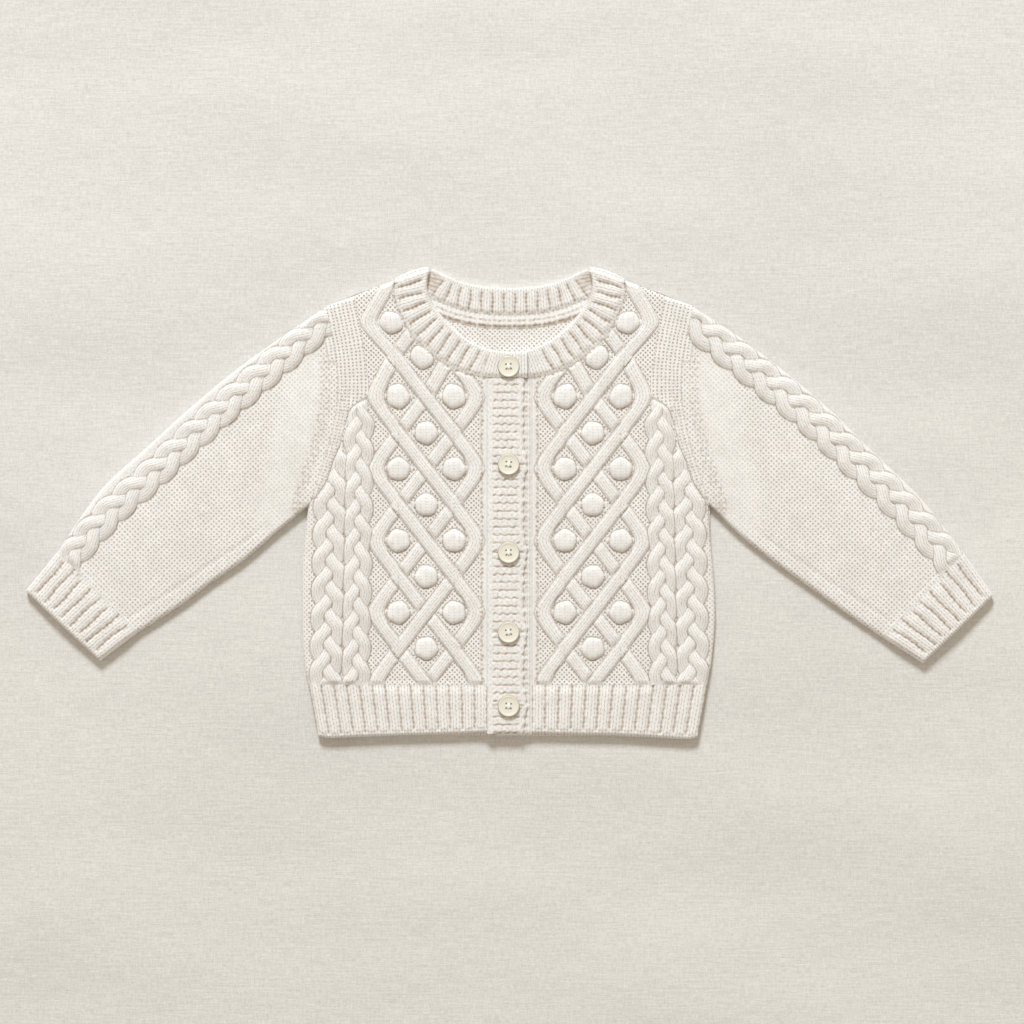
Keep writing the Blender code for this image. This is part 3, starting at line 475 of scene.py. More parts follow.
def valleys(places, width):
    """1 in the narrow purl valley between two ribs, at each whole number of places."""
    off = np.abs(places - np.round(places))
    return np.exp(-((off / width) ** 2))


def rib_height(places, valley, open_part, deep=0.75):
    """Height of columns of rib, each a little rounded, with purl valleys between them."""
    swell = RIB_SWELL * np.sin(np.pi * (places - np.floor(places)))
    return RIB_HIGH * (1 - deep * valley) + swell * open_part


def rib_valley_shade(valley):
    """Painted shade in a purl valley, which is sharper than the valley is deep."""
    return between(0.15, 0.95, valley)


def rib_start(plaited):
    """Share of its height that a rib has at its seam with moss stitch (0) or a plait (1)."""
    return RIB_START + (PLAIT_RIB_START - RIB_START) * plaited


def rib_rise(plaited, distance, reach):
    """Share of its height that a rib has at a distance from that seam."""
    start = rib_start(plaited)
    return start + (1 - start) * between(0.0, reach, distance)


def meeting_rib(height, plaited, distance, reach):
    """Height of moss stitch and plaits, brought to the rib's own at their seam."""
    fade = between(0.0, reach, distance)
    return height * fade + rib_start(plaited) * RIB_HIGH * (1 - fade)


def below_plaits(out):
    """1 where the plaits of a front end at the hem rib."""
    return window(89.0, 93.0, 126.0, 130.0, out)


def below_sleeve_plait(parts):
    """1 where the plait of a sleeve ends at the cuff."""
    return between(0.31, 0.25, parts)[None]


# ---------------------------------------------------------------- meshes


def write_closed(bm, mesh, nearness, capped=True):
    """Merges doubles, closes open ends, turns the faces outwards and writes the mesh."""
    bmesh.ops.remove_doubles(bm, verts=bm.verts, dist=nearness)
    if capped:
        bmesh.ops.holes_fill(bm, edges=[edge for edge in bm.edges if edge.is_boundary], sides=0)
    bmesh.ops.recalc_face_normals(bm, faces=bm.faces)
    bm.to_mesh(mesh)
    bm.free()
    return mesh


def closed_rings(name, rings, values, stitches, capped=True):
    """A mesh through rings of points, with values and stitch coordinates at each point."""
    def closed(grid):
        return np.concatenate([grid, grid[:, :1]], axis=1)

    rings, stitches = closed(rings), closed(stitches)
    rows, columns = rings.shape[0] - 1, rings.shape[1] - 1
    bm = bmesh.new()
    bmesh.ops.create_grid(bm, x_segments=columns, y_segments=rows, size=0.5)
    mesh = bpy.data.meshes.new(name)
    bm.to_mesh(mesh)
    places = np.empty(len(mesh.vertices) * 3)
    mesh.vertices.foreach_get("co", places)
    places = places.reshape(-1, 3)
    column = np.round((places[:, 0] + 0.5) * columns).astype(int)
    row = np.round((places[:, 1] + 0.5) * rows).astype(int)
    mesh.vertices.foreach_set("co", (rings[row, column] * MM).ravel())
    for key, value in values.items():
        attribute = mesh.attributes.new(key, "FLOAT", "POINT")
        attribute.data.foreach_set("value", closed(value)[row, column].astype(np.float32))
    corners = np.empty(len(mesh.loops), dtype=np.int32)
    mesh.loops.foreach_get("vertex_index", corners)
    layer = mesh.uv_layers.new(name="stitches")
    layer.data.foreach_set("uv", stitches[row, column][corners].astype(np.float32).ravel())
    bm.clear()
    bm.from_mesh(mesh)
    write_closed(bm, mesh, 2e-6, capped)
    mesh.shade_smooth()
    mesh.set_sharp_from_angle(angle=math.radians(75))
    return mesh


def with_underside(points, knitting, shade_and_marks, corners):
    """Rings from an outer face and its under corners, with their values and stitches."""
    under = []
    for end, inset, level in corners:
        inward = points[:, 1 if end == 0 else -2, :2] - points[:, end, :2]
        inward /= np.maximum(np.hypot(*inward.T)[:, None], 1e-9)
        spot = points[:, end].copy()
        spot[:, :2] += inset * inward
        spot[:, 2] = level
        under.append(spot)
    ends = [corner[0] for corner in corners]

    def extended(value):
        return np.concatenate([value, value[:, ends]], axis=1)

    shut = np.zeros((len(shade_and_marks), len(corners)))
    values = {"columns": extended(knitting.columns), "depth": extended(knitting.depth),
              "shade_and_marks": np.concatenate([shade_and_marks, shut], axis=1)}
    stitches = np.stack([extended(knitting.across), extended(knitting.along)], axis=2)
    return np.concatenate([points, np.stack(under, axis=1)], axis=1), values, stitches


def link(name, data):
    """An object in the scene, with its origin at the world's."""
    made = bpy.data.objects.new(name, data)
    bpy.context.scene.collection.objects.link(made)
    return made


def add_piece(name, mesh, material, replaced):
    """Adds a finished mesh as a piece that rides on the root."""
    mesh.materials.append(material)
    piece = link(name, mesh)
    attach(piece, "root")
    if replaced:
        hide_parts(*replaced)
    return piece


def add_knit(node, material, slot, rings, values, stitches, capped=True):
    """Adds the knitted piece that stands in for a solid."""
    name = f"{node}_knit"
    mesh = closed_rings(name, rings, values, stitches, capped)
    return add_piece(name, mesh, material, [node])


# ---------------------------------------------------------------- body


def front_rows():
    """Side, panel and neck points of each row of a front, from hem to shoulder."""
    levels = spread(HEM_TOP + SEAM, FAN_LEVEL, FRONT_STEP)[:-1]
    ones = np.ones_like(levels)
    straight = np.stack([levels, PANEL_OUT * ones, levels, BAND_OUT * ones, levels], axis=1)
    return np.concatenate([straight, smooth_rows(NECK_FAN, spread(0, len(NECK_FAN) - 1, FAN_STEP))])


def lay_front_plaits(knitting, out, level, yoke_out):
    """Two plaits, whose heads taper and go under the yoke."""
    clear = between(-0.5, 4.0, yoke_out - out) * between(69.0, 63.0, level)
    for plait in FRONT_PLAITS:
        part = (PLAIT_HEAD_LEVEL - level) / (PLAIT_HEAD_LEVEL - PLAIT_FOOT_LEVEL)
        centre = plait.head_out + part * (plait.foot_out - plait.head_out)
        down = plait.lobe_level - level + 0.75 * LOBE_PITCH
        narrow = 0.55 + 0.45 * between(plait.top_level, plait.top_level - 16.0, level)
        lay_plait(knitting, down, out - centre, plait.swing * narrow, plait.half_width * narrow,
                  clear)


def lay_yoke(knitting, out, level, yoke_out, panel_out):
    """Columns of stitches round the armhole, and the painted shade of the furrows beside it that it
    gives back.
    """
    along_arm, from_arm = beside(armhole_line(), out, level)
    lapped = between(70.0, 58.0, level) * between(-0.8, 3.0, out - yoke_out)
    in_yoke = out > np.maximum(yoke_out, panel_out + 1.5)
    columned = 0.14 + 0.04 * between(68.0, 56.0, level)
    knitting.lay(0.2 + 0.5 * lapped, from_arm, along_arm, YOKE_COLUMNS, columns=columned,
                 depth=0.8, where=in_yoke)
    furrow_shade = [dashes(from_arm - place, along_arm + 2 * place, 0.6) for place in (0.6, 3.6, 6.6)]
    return np.max(furrow_shade, axis=0) * in_yoke * between(86.0, 70.0, level)


def add_front(side, node, material):
    """A front in moss stitch, with lattice, bobbles, plaits and yoke."""
    side_level, panel_out, panel_level, neck_out, neck_level = front_rows().T[:, :, None]
    edge_out = side_out(side_level, side)
    outer = spread(0, 1, FRONT_STEP / SIDE_WIDE)[:-1][None]
    inner = spread(0, 1, FRONT_STEP / (PANEL_OUT - BAND_OUT))[None]
    neck_out, neck_level = neck_out + SEAM, neck_level - SEAM
    out = np.concatenate([edge_out + outer * (panel_out - edge_out),
                          panel_out + inner * (neck_out - panel_out)], axis=1)
    level = np.concatenate([side_level + outer * (panel_level - side_level),
                            panel_level + inner * (neck_level - panel_level)], axis=1)
    knitting = Knitting(out, level, FRONT_MOSS, depth=0.85)
    knitting.depth = knitting.depth * (0.5 + 0.5 * between(1.0, 8.0, edge_out - out))
    column, row = lattice_place(out, level)
    lay_ropes(knitting, column, row, side)
    lay_bobbles(knitting, column, row)
    yoke = smooth_curve(YOKE_EDGE, 4)
    yoke_out = np.interp(level, yoke[:, 0], yoke[:, 1], left=200)
    lay_front_plaits(knitting, out, level, yoke_out)
    furrow_shade = lay_yoke(knitting, out, level, yoke_out, panel_out)
    strip = between(4.0, 2.8, out - BAND_OUT) * between(84.0, 80.0, level)
    knitting.lay(0.06 * strip, out, level, columns=0.8, depth=0.35, where=strip > 0.02)
    knitting.height = meeting_rib(knitting.height, below_plaits(out), level - HEM_TOP, 3.0)
    along_seam, from_seam = beside(neck_line(NECK_FRONT), out, level)
    from_seam = np.abs(from_seam)
    knitting.height *= 0.2 + 0.8 * between(0.0, 2.4, from_seam)
    picked = dashes(out - BAND_OUT - PICKED_UP, level, 0.75) * between(82.0, 78.0, level)
    sewn = dashes(from_seam - 0.4, along_seam, 0.9)
    # Painted shade in the hollows beside cords and in the yoke's furrows, with the dark lines where
    # the band's stitches were picked up and the neckband sewn on
    shade_and_marks = deepest(knitting.shades_and_marks(FRONT_STEP), 1.9 * picked, 1.5 * sewn, furrow_shade)
    height = FRONT_TOP + knitting.height
    if side == RIGHT:
        height = height + lap_top(-out)
    tip, corner = ARMHOLE[-1], NECK_FAN[-1]
    shoulder = np.array([[tip.out, tip.level], [corner.neck_out, corner.neck_level]])
    _, from_side = beside(smooth_curve(BODY_SIDE)[:, [1 if side == RIGHT else 2, 0]], out, level)
    _, from_shoulder = beside(shoulder, out, level)
    height = softened(height, np.minimum(np.abs(from_side), np.abs(from_shoulder)), FOLD_LOW)
    points = np.stack([side * out, level, height], axis=2)
    piece = add_knit(node, material, "body_wool",
                     *with_underside(points, knitting, shade_and_marks, FRONT_UNDERSIDE))


def back_rows():
    """Right half of each row of the back, from side to centre, as distance out and level."""
    levels = np.concatenate([[HEM_TOP + SEAM], spread(-100, -20, 27),
                             spread(ARMHOLE[0].level, 92, 8)])
    shoulder = smooth_curve(BACK_SHOULDER)
    neck = neck_line(NECK_BACK)
    steps = np.concatenate([[1.0, 0.87, 0.73, 0.63], np.linspace(0.61, 0.0, 92)])
    rows = [np.stack([steps * side_out(level, RIGHT), steps * 0 + level], axis=1)
            for level in levels]
    neck_out = np.interp(steps[3:], [0, 0.61, 0.63], [0, 75.1, 75.4])
    neck_level = np.interp(neck_out, neck[::-1, 0], neck[::-1, 1]) - SEAM
    neck_level[0] = shoulder[-1, 1] - SEAM
    side_part = np.interp([0, 0.5, 1], np.linspace(0, 1, len(shoulder)), shoulder[:, 0])
    side_level = np.interp(-side_part, -shoulder[:, 0], shoulder[:, 1])
    top_out = np.concatenate([side_part, neck_out])
    top_level = np.concatenate([side_level, neck_level])
    for depth in np.concatenate([spread(38.0, 30.0, 2.0), spread(29.2, 0.0, 0.7)]):
        part = depth / SHOULDER_DEEP
        tip_level = ARMHOLE[-1].level - TIP_FALL * part
        blend = part * part
        row_out = top_out * (1 - blend) + steps * side_out(tip_level, RIGHT) * blend
        row = np.stack([row_out, top_level - depth], axis=1)
        row[0] = side_out(tip_level, RIGHT), tip_level
        rows.append(row)
    rows.append(rows[-1])  # foot of the wall along the shoulders and the neck
    return np.array(rows)


def add_back(material):
    """The back, whose inner face shows in the neck with the ridge of the picked-up stitches."""
    out, level = np.moveaxis(back_rows(), 2, 0)
    out_left = out * (side_out(level, LEFT) / side_out(level, RIGHT))
    x = np.concatenate([-out, out_left[:, ::-1][:, 1:]], axis=1)
    level = np.concatenate([level, level[:, ::-1][:, 1:]], axis=1)
    out = np.abs(x)
    along_neck, from_neck = beside(neck_line(NECK_BACK), out, level)
    from_neck = np.abs(from_neck)
    knitting = Knitting(x, level, BACK_MOSS, depth=0.72)
    ridge = between(RIDGE_WIDE + 0.7, RIDGE_WIDE - 1.6, from_neck)
    ridge = ridge * (0.6 + 0.4 * between(0.0, 4.0, from_neck))
    stitches = np.abs(np.sin(along_neck * math.pi / 3.6)) * between(3.0, 5.0, from_neck)
    ridge *= (0.75 + 0.25 * stitches) * between(52.0, 44.0, out)
    knitting.lay(RIDGE_HIGH * ridge, along_neck, from_neck, RIDGE_STITCH, columns=0.15, depth=0.5)
    in_neck = between(54.0, 46.0, out)
    # Painted shade in the crease at the foot of the ridge, and the dark line of the picked-up
    # stitches
    ridge_foot_shade = dashes(from_neck - RIDGE_WIDE + 0.1, along_neck, 1.2) * in_neck
    picked = dashes(from_neck - PICKED_UP, along_neck, 0.8) * in_neck
    shade_and_marks = deepest(knitting.shades_and_marks(BACK_STEP), 2.6 * ridge_foot_shade, 1.1 * picked)
    points = np.stack([x, level, WALL + knitting.height], axis=2)
    points[-1, :, 2] = WALL_FOOT
    piece = add_knit("back", material, "body_wool",
                     *with_underside(points, knitting, shade_and_marks, BACK_UNDERSIDE))


def add_hem(side, node, material):
    """The hem rib below one front."""
    foot = smooth_curve(HEM_FOOT[side])
    hem_wide = side_out(HEM_TOP, side) - BAND_OUT
    part = spread(0, 1, RIB_STEP / HEM_WIDE)[None]
    rows = spread(0, 1, RIB_STEP / RIB_LONG)[:, None]
    places = part * round(hem_wide / HEM_RIB_PITCH) + 0 * rows
    top_out = BAND_OUT + part * hem_wide
    foot_out = BAND_OUT + part * (foot[-1, 0] - BAND_OUT)
    foot_level = np.interp(foot_out, foot[:, 0], foot[:, 1])
    out = top_out + rows * (foot_out - top_out)
    level = HEM_TOP - SEAM + rows * (foot_level - HEM_TOP + SEAM)
    down = HEM_TOP - level
    to_foot = level - foot_level
    ragged = 1.2 * np.sin(2.4 * np.round(places))
    open_part = between(-0.6, 1.2, down + 0.6 * ragged) * between(2.0, 3.8, to_foot - 0.4 * ragged)
    knitting = Knitting(places, level, RIB_PLACE, columns=1.0, depth=0.8)
    wander = 0.03 * np.sin(level * 0.9 + 3.0 * places)
    valley = valleys(places + wander, 0.13) * open_part
    knitting.height = rib_height(places, valley, open_part, 0.7)
    knitting.height *= rib_rise(below_plaits(out), down, 6.0)
    knitting.height -= 0.3 * window(1.4, 2.4, 2.8, 3.6, to_foot)
    height = FRONT_TOP + knitting.height
    if side == RIGHT:
        height = height + lap_top(-out)
    from_edge = np.minimum(side_out(level, side) - out, to_foot + 0.4)
    height = softened(height, from_edge, FRONT_LOW + 0.6)
    points = np.stack([side * out, level, height], axis=2)
    piece = add_knit(node, material, "rib_wool", *with_underside(
        points, knitting, 0.85 * rib_valley_shade(valley), FRONT_UNDERSIDE))


def add_hem_back(material):
    """The plain strip below the back, which lies under the hem rib."""
    foot = smooth_curve(BACK_FOOT, 24)
    part = np.linspace(0, 1, len(foot))[None]
    rows = spread(0, 1, EDGE_STEP / RIB_LONG)[:, None]
    right, left = side_out(HEM_TOP, RIGHT), side_out(HEM_TOP, LEFT)
    top_x = -right + part * (left + right)
    x = top_x + rows * (foot[:, 0] - top_x)
    level = HEM_TOP - SEAM + rows * (foot[:, 1] - HEM_TOP + SEAM)
    knitting = Knitting(x, level, RIB_STITCH, columns=1.0, depth=0.8)
    points = np.stack([x, level, np.full_like(x, WALL)], axis=2)
    piece = add_knit("hem_back", material, "rib_wool",
                     *with_underside(points, knitting, 0 * x, BACK_UNDERSIDE))


# ---------------------------------------------------------------- sleeves


def tube_plan(rows, places, parts):
    """Places across a sleeve, from its top fold to its low fold, at each station along it."""
    smooth = smooth_rows(rows, places)
    top, low = smooth[:, None, :2], smooth[:, None, 2:]
    plan = top + parts[None, :, None] * (low - top)
    if rows[0].top_out != ARMHOLE[-1].out:
        return plan
    arm = smooth_curve(ARMHOLE)
    level = ARMHOLE[-1].level + parts * (ARMHOLE[0].level - ARMHOLE[-1].level)
    chord = ARMHOLE[-1].out + parts * (ARMHOLE[0].out - ARMHOLE[-1].out)
    bow = np.interp(level, arm[:, 0], arm[:, 1]) - chord
    fade = np.clip(1 - np.asarray(places) / (len(rows) - 1) / ARMHOLE_FADE, 0, 1) ** 2
    plan[:, :, 0] += fade[:, None] * bow[None]
    return plan


def tube_width(plan):
    """Distance from fold to fold at each station."""
    return np.hypot(*(plan[:, -1] - plan[:, 0]).T)[:, None]


UNDER_PARTS = np.array([0.985, 0.96, 0.85, 0.7, 0.5, 0.3, 0.15, 0.04, 0.015])
UNDER_FOLDS = (0.985, 0.015)  # the outermost of them, which are lifted by the fold
FOLD_LIFT = 0.6


def tube_rings(side, plan, parts, knitting, shade_and_marks, domed=1.0):
    """Rings round a flattened tube: outer face, underside, and back along the slit inside."""
    width = tube_width(plan)
    near_fold = np.minimum(parts, 1 - parts)[None]
    height = FRONT_TOP + SLEEVE_DOME * between(0, 0.5, near_fold) * domed + knitting.height
    height = softened(height, near_fold * width, WALL)
    columns = np.interp(UNDER_PARTS, parts, np.arange(len(parts)))
    start = columns.astype(int)
    rest = (columns - start)[None, :, None]
    under = plan[:, start] + rest * (plan[:, start + 1] - plan[:, start])
    lift = np.where(np.isin(UNDER_PARTS, UNDER_FOLDS), FOLD_LIFT, 0.0) + 0 * under[:, :, 0]
    outer = np.concatenate([np.dstack([plan, height]), np.dstack([under, lift])], axis=1)
    outer[:, :, 0] *= side
    all_parts = np.concatenate([parts, UNDER_PARTS])
    inner_parts = np.clip(all_parts[None], 2 * WALL / width, 1 - 2 * WALL / width)
    inner_height = np.where(np.arange(len(all_parts)) < len(parts), WALL + SLIT_HIGH, WALL)
    chosen = np.unique(np.linspace(0, len(plan) - 1, 12).round().astype(int))[::-1]
    inner = [np.stack([side * np.interp(inner_parts[row], parts, plan[row, :, 0]),
                       np.interp(inner_parts[row], parts, plan[row, :, 1]), inner_height], axis=1)
             for row in chosen]
    rings = np.concatenate([outer, inner, outer[:1]], axis=0)

    def around(value, under_value=None):
        under_value = value[:, start] if under_value is None else under_value
        ring = np.concatenate([value, under_value], axis=1)
        return np.concatenate([ring, ring[chosen], ring[:1]], axis=0)

    values = {"columns": around(knitting.columns), "depth": around(knitting.depth),
              "shade_and_marks": around(shade_and_marks, np.zeros((len(shade_and_marks), len(start))))}
    return rings, values, np.dstack([around(knitting.across), around(knitting.along)])


def armhole_marks(along_arm, from_arm, level):
    """The broken marks of the decreases beside the armhole."""
    wander = 0.16 * np.sin(from_arm * 1.5 + along_arm * 0.7)
    marks = valleys(along_arm / 4.6 + wander, 0.15)
    marks = marks * window(3.0, 5.0, 10.5, 14.0, from_arm) * between(104.0, 92.0, level)
    return marks * (0.5 + 0.4 * np.sin(along_arm * 1.7) * np.sin(from_arm * 1.9 + 0.5))


def add_sleeve(side, node, material):
    """A flattened tube of moss stitch, with a plait along it."""
    rows = SLEEVES[side]
    line = smooth_curve(SLEEVE_PLAIT_LINES[side])
    places = spread(0, len(rows) - 1, SLEEVE_STEP / SLEEVE_ROW_LONG)
    places[0] += SEAM / 30.0  # here the rows of the table are 30 mm apart
    places[-1] -= SEAM / 40.0  # and here 40 mm
    parts = np.concatenate([[0, 0.003, 0.008], spread(0.014, 0.3, 0.0062),
                            spread(0.308, 0.97, 0.0078), [0.977, 0.984, 0.99, 0.995, 1.0]])
    plan = tube_plan(rows, places, parts)
    out, level = plan[:, :, 0], plan[:, :, 1]
    along_arm, from_arm = beside(armhole_line(), out, level)
    from_arm = np.abs(from_arm)
    knitting = Knitting(out, level, SLEEVE_MOSS)
    knitting.depth = 0.55 - 0.27 * window(9.0, 12.0, 26.0, 44.0, from_arm)
    knitting.height = 0.2 * between(6.0, 1.0, from_arm)
    columned = between(6.5, 4.5, from_arm) * between(84.0, 100.0, level) > 0.5
    knitting.lay(knitting.height + 0.01, from_arm, along_arm, YOKE_COLUMNS, columns=0.12,
                 depth=0.7, where=columned)
    from_low_fold = (1 - parts[None]) * tube_width(plan)
    groove = np.exp(-(((from_low_fold - 11.5) / 1.8) ** 2)) * between(25.0, 50.0, from_arm)
    knitting.height = knitting.height - 0.35 * groove
    along, left = beside(line, out, level)
    knitting.lay(knitting.height + 0.01, left, along, depth=0.35,
                 where=between(9.0, 11.0, left) > 0.5)
    cusp, _ = beside(line, *np.array(SLEEVE_FIRST_CUSP[side])[:, None])
    down = along - cusp[0] - 1.25 * LOBE_PITCH
    lay_plait(knitting, down, left, SLEEVE_PLAIT_SWING[side], SLEEVE_PLAIT_HALF)
    to_cuff = (len(rows) - 1 - places[:, None]) * SLEEVE_ROW_LONG
    knitting.height = meeting_rib(knitting.height, below_sleeve_plait(parts), to_cuff, 3.8)
    marks = armhole_marks(along_arm, from_arm, level)
    # Painted shadow on the sleeve round the underarm, where it meets the body
    from_underarm = np.hypot(out - UNDERARM.out, level - UNDERARM.level)
    underarm_shade = np.exp(-((from_underarm / 9.0) ** 2))
    shade_and_marks = deepest(knitting.shades_and_marks(SLEEVE_STEP), 1.5 * marks, 0.6 * underarm_shade)
    domed = between(0.0, 16.0, from_arm)
    piece = add_knit(node, material, "body_wool",
                     *tube_rings(side, plan, parts, knitting, shade_and_marks, domed), capped=False)


def add_cuff(side, node, material):
    """A flattened tube of rib, which gathers the sleeve."""
    places = spread(0, 1, RIB_STEP / RIB_LONG)
    places[0] = SEAM / RIB_LONG
    parts = np.concatenate([[0, 0.006], spread(0.014, 0.986, RIB_STEP / CUFF_WIDE), [0.994, 1.0]])
    plan = tube_plan((SLEEVES[side][-1], CUFF_ENDS[side]), places, parts)
    across = parts[None] * CUFF_RIBS + 0 * places[:, None]
    along = places[:, None] * RIB_LONG + 0 * parts[None]
    to_end = RIB_LONG - along
    knitting = Knitting(across, along, RIB_PLACE, columns=1.0, depth=0.8)
    ragged = 1.6 * np.sin(2.4 * np.round(across))
    open_part = between(-0.6, 1.2, along - 1.0 - ragged) * between(2.8, 4.4, to_end - 0.5 * ragged)
    wander = 0.05 * np.sin(along * 0.23 + 2.1 * across) + 0.03 * np.sin(along * 1.1 + 3.0 * across)
    inside = between(0.02, 0.06, np.minimum(parts, 1 - parts))[None]
    valley = valleys(across + wander, 0.13) * open_part * inside
    knitting.height = rib_height(across, valley, open_part)
    knitting.height *= rib_rise(below_sleeve_plait(parts), along, 9.0)
    knitting.height -= 1.4 * between(1.6, 0.0, to_end)
    piece = add_knit(node, material, "rib_wool",
                     *tube_rings(side, plan, parts, knitting, rib_valley_shade(valley)), capped=False)


# ---------------------------------------------------------------- neckband

# Places across the neckband, from seam to rim, and how far its face rolls over at the rim
BAND_FACE = np.concatenate(
    [[0, 0.02, 0.05], np.linspace(0.085, 0.9, 21), [0.94, 0.965, 0.985, 1.0]])
BAND_ROLL = 0.45 * between(0.93, 1.0, BAND_FACE) ** 2


def there_and_back(face, return_face):
    """Values across the neckband's outer face, then across its inner face back again."""
    return np.concatenate([face, return_face[:, ::-1]], axis=1)


def stations(line):
    """Seam and rim points at fine steps along a line, and how many ribs along each one lies."""
    middle = (line[:, :2] + line[:, 2:]) / 2
    travelled = np.concatenate([[0], np.cumsum(np.hypot(*np.diff(middle, axis=0).T))])
    distances = spread(0, travelled[-1], RIB_STEP)
    rows = np.stack([np.interp(distances, travelled, line[:, n]) for n in range(4)], axis=1)
    return rows, distances / travelled[-1] * round(travelled[-1] / NECK_RIB_PITCH)


def ribbed_face(places, start, end, ribbed):
    """Heights and purl valleys across a face of the neckband, at stations counted in ribs."""
    open_part = window(start - 0.04, start + 0.04, end - 0.04, end + 0.06, BAND_FACE)
    places = places[:, None]
    wander = 0.04 * np.sin(BAND_FACE * 9.0 + 3.0 * places)
    valley = valleys(places + wander, 0.15) * open_part * ribbed[:, None]
    height = rib_height(places, valley, open_part)
    return height * (1 - BAND_ROLL) * between(-0.02, 0.2, BAND_FACE), rib_valley_shade(valley)


def back_faces(x, places):
    """Heights, reliefs and painted shade of the band's back half, whose inner side shows."""
    out, flat = np.abs(x), np.zeros((len(x), len(BAND_FACE)))
    relief, valley = ribbed_face(places, 0.06, 0.78, between(53.0, 50.0, out))
    relief = relief * between(52.0, 44.0, out)[:, None]
    # Painted shade near the shoulder fold: dark valleys between the bunched ribs, and a brown shade
    # across the band
    bunched_rib_shade = between(43.0, 46.0, out)[:, None] * between(0.75, 0.65, BAND_FACE)
    bunched_rib_shade = bunched_rib_shade * valleys(3 * places, 0.2)[:, None]
    fold_shade = between(43.0, 49.0, out)[:, None] * window(0.02, 0.2, 0.85, 0.97, BAND_FACE)
    valley = np.max([valley, 0.8 * bunched_rib_shade, 0.75 * fold_shade], axis=0)
    return (flat, WALL * (1 - 0.4 * BAND_ROLL) + relief), (flat, valley)


def front_faces(x, places, spots, rim_level, lapping):
    """Heights and painted shade of the band's front half, whose outer side shows."""
    flat = np.zeros((len(x), len(BAND_FACE)))
    inner, outer = FRONT_LOW + flat, FRONT_TOP + flat
    if lapping:
        inner, outer = inner + lap_rise(spots[:, :, 0]), outer + lap_top(spots[:, :, 0])
        ribbed = between(14.2, 16.2, -x)
    else:
        ribbed = between(18.0, 20.0, x)
    relief, valley = ribbed_face(places, 0.10, 0.82, ribbed)
    # Painted shade on the rim's wall near the shoulder fold, where the front layer drops to the
    # back layer
    edge = between(0.9, 1.0, BAND_FACE) * between(124.0, 134.0, rim_level)[:, None]
    outer = inner + (outer - inner) * (1 - BAND_ROLL) + relief
    return (outer, inner), (np.maximum(valley, 0.9 * edge), flat)


def band_rings(rows, places, side, place):
    """Rings round a stretch of the neckband, and the painted shade on them."""
    seam, rim = rows[:, :2], rows[:, 2:]
    across = rim - seam
    across = across / np.hypot(*across.T)[:, None]
    seam = seam + across * SEAM
    length = np.hypot(*(rim - seam).T)
    x = side * (seam[:, 0] + rim[:, 0]) / 2
    spots = seam[:, None] + BAND_FACE[None, :, None] * length[:, None, None] * across[:, None]
    spots = spots * (side, 1)
    if place == "back":
        faces, shades_and_marks = back_faces(x, places)
    else:
        faces, shades_and_marks = front_faces(x, places, spots, rim[:, 1], lapping=place == "front")
    rings = there_and_back(*(np.dstack([spots, face]) for face in faces))
    return rings, there_and_back(*shades_and_marks)


def fold_rings(row, side, opening):
    """Rings round the hairpin fold at a shoulder, from the front layer over to the back layer."""
    seam, rim = np.array(row[:2]), np.array(row[2:])
    across = (rim - seam) / math.hypot(*(rim - seam))
    seam = seam + across * SEAM
    spots = seam + BAND_FACE[:, None] * math.hypot(*(rim - seam)) * across
    spots = np.concatenate([spots, spots[::-1]])
    wall = np.concatenate([WALL * (1 - BAND_ROLL), 0 * BAND_ROLL])
    ribs = np.concatenate([RIB_HIGH * (1 - BAND_ROLL), 0 * BAND_ROLL])
    bulge = 1.5 * np.sin(np.pi * np.concatenate([BAND_FACE, BAND_FACE[::-1]]))
    rings = []
    for angle in np.radians((12, 30, 50, 70, 90, 110, 130, 150, 168)):
        radius = GAP / 2 + wall + ribs * (1 + math.cos(angle)) / 2
        level = spots[:, 1] + (radius + bulge) * math.sin(angle)
        height = WALL + GAP / 2 + radius * math.cos(angle)
        rings.append(np.stack([side * spots[:, 0], level, height], axis=1))
    rings = np.array(rings if opening else rings[::-1])
    return rings, np.zeros(rings.shape[:2])


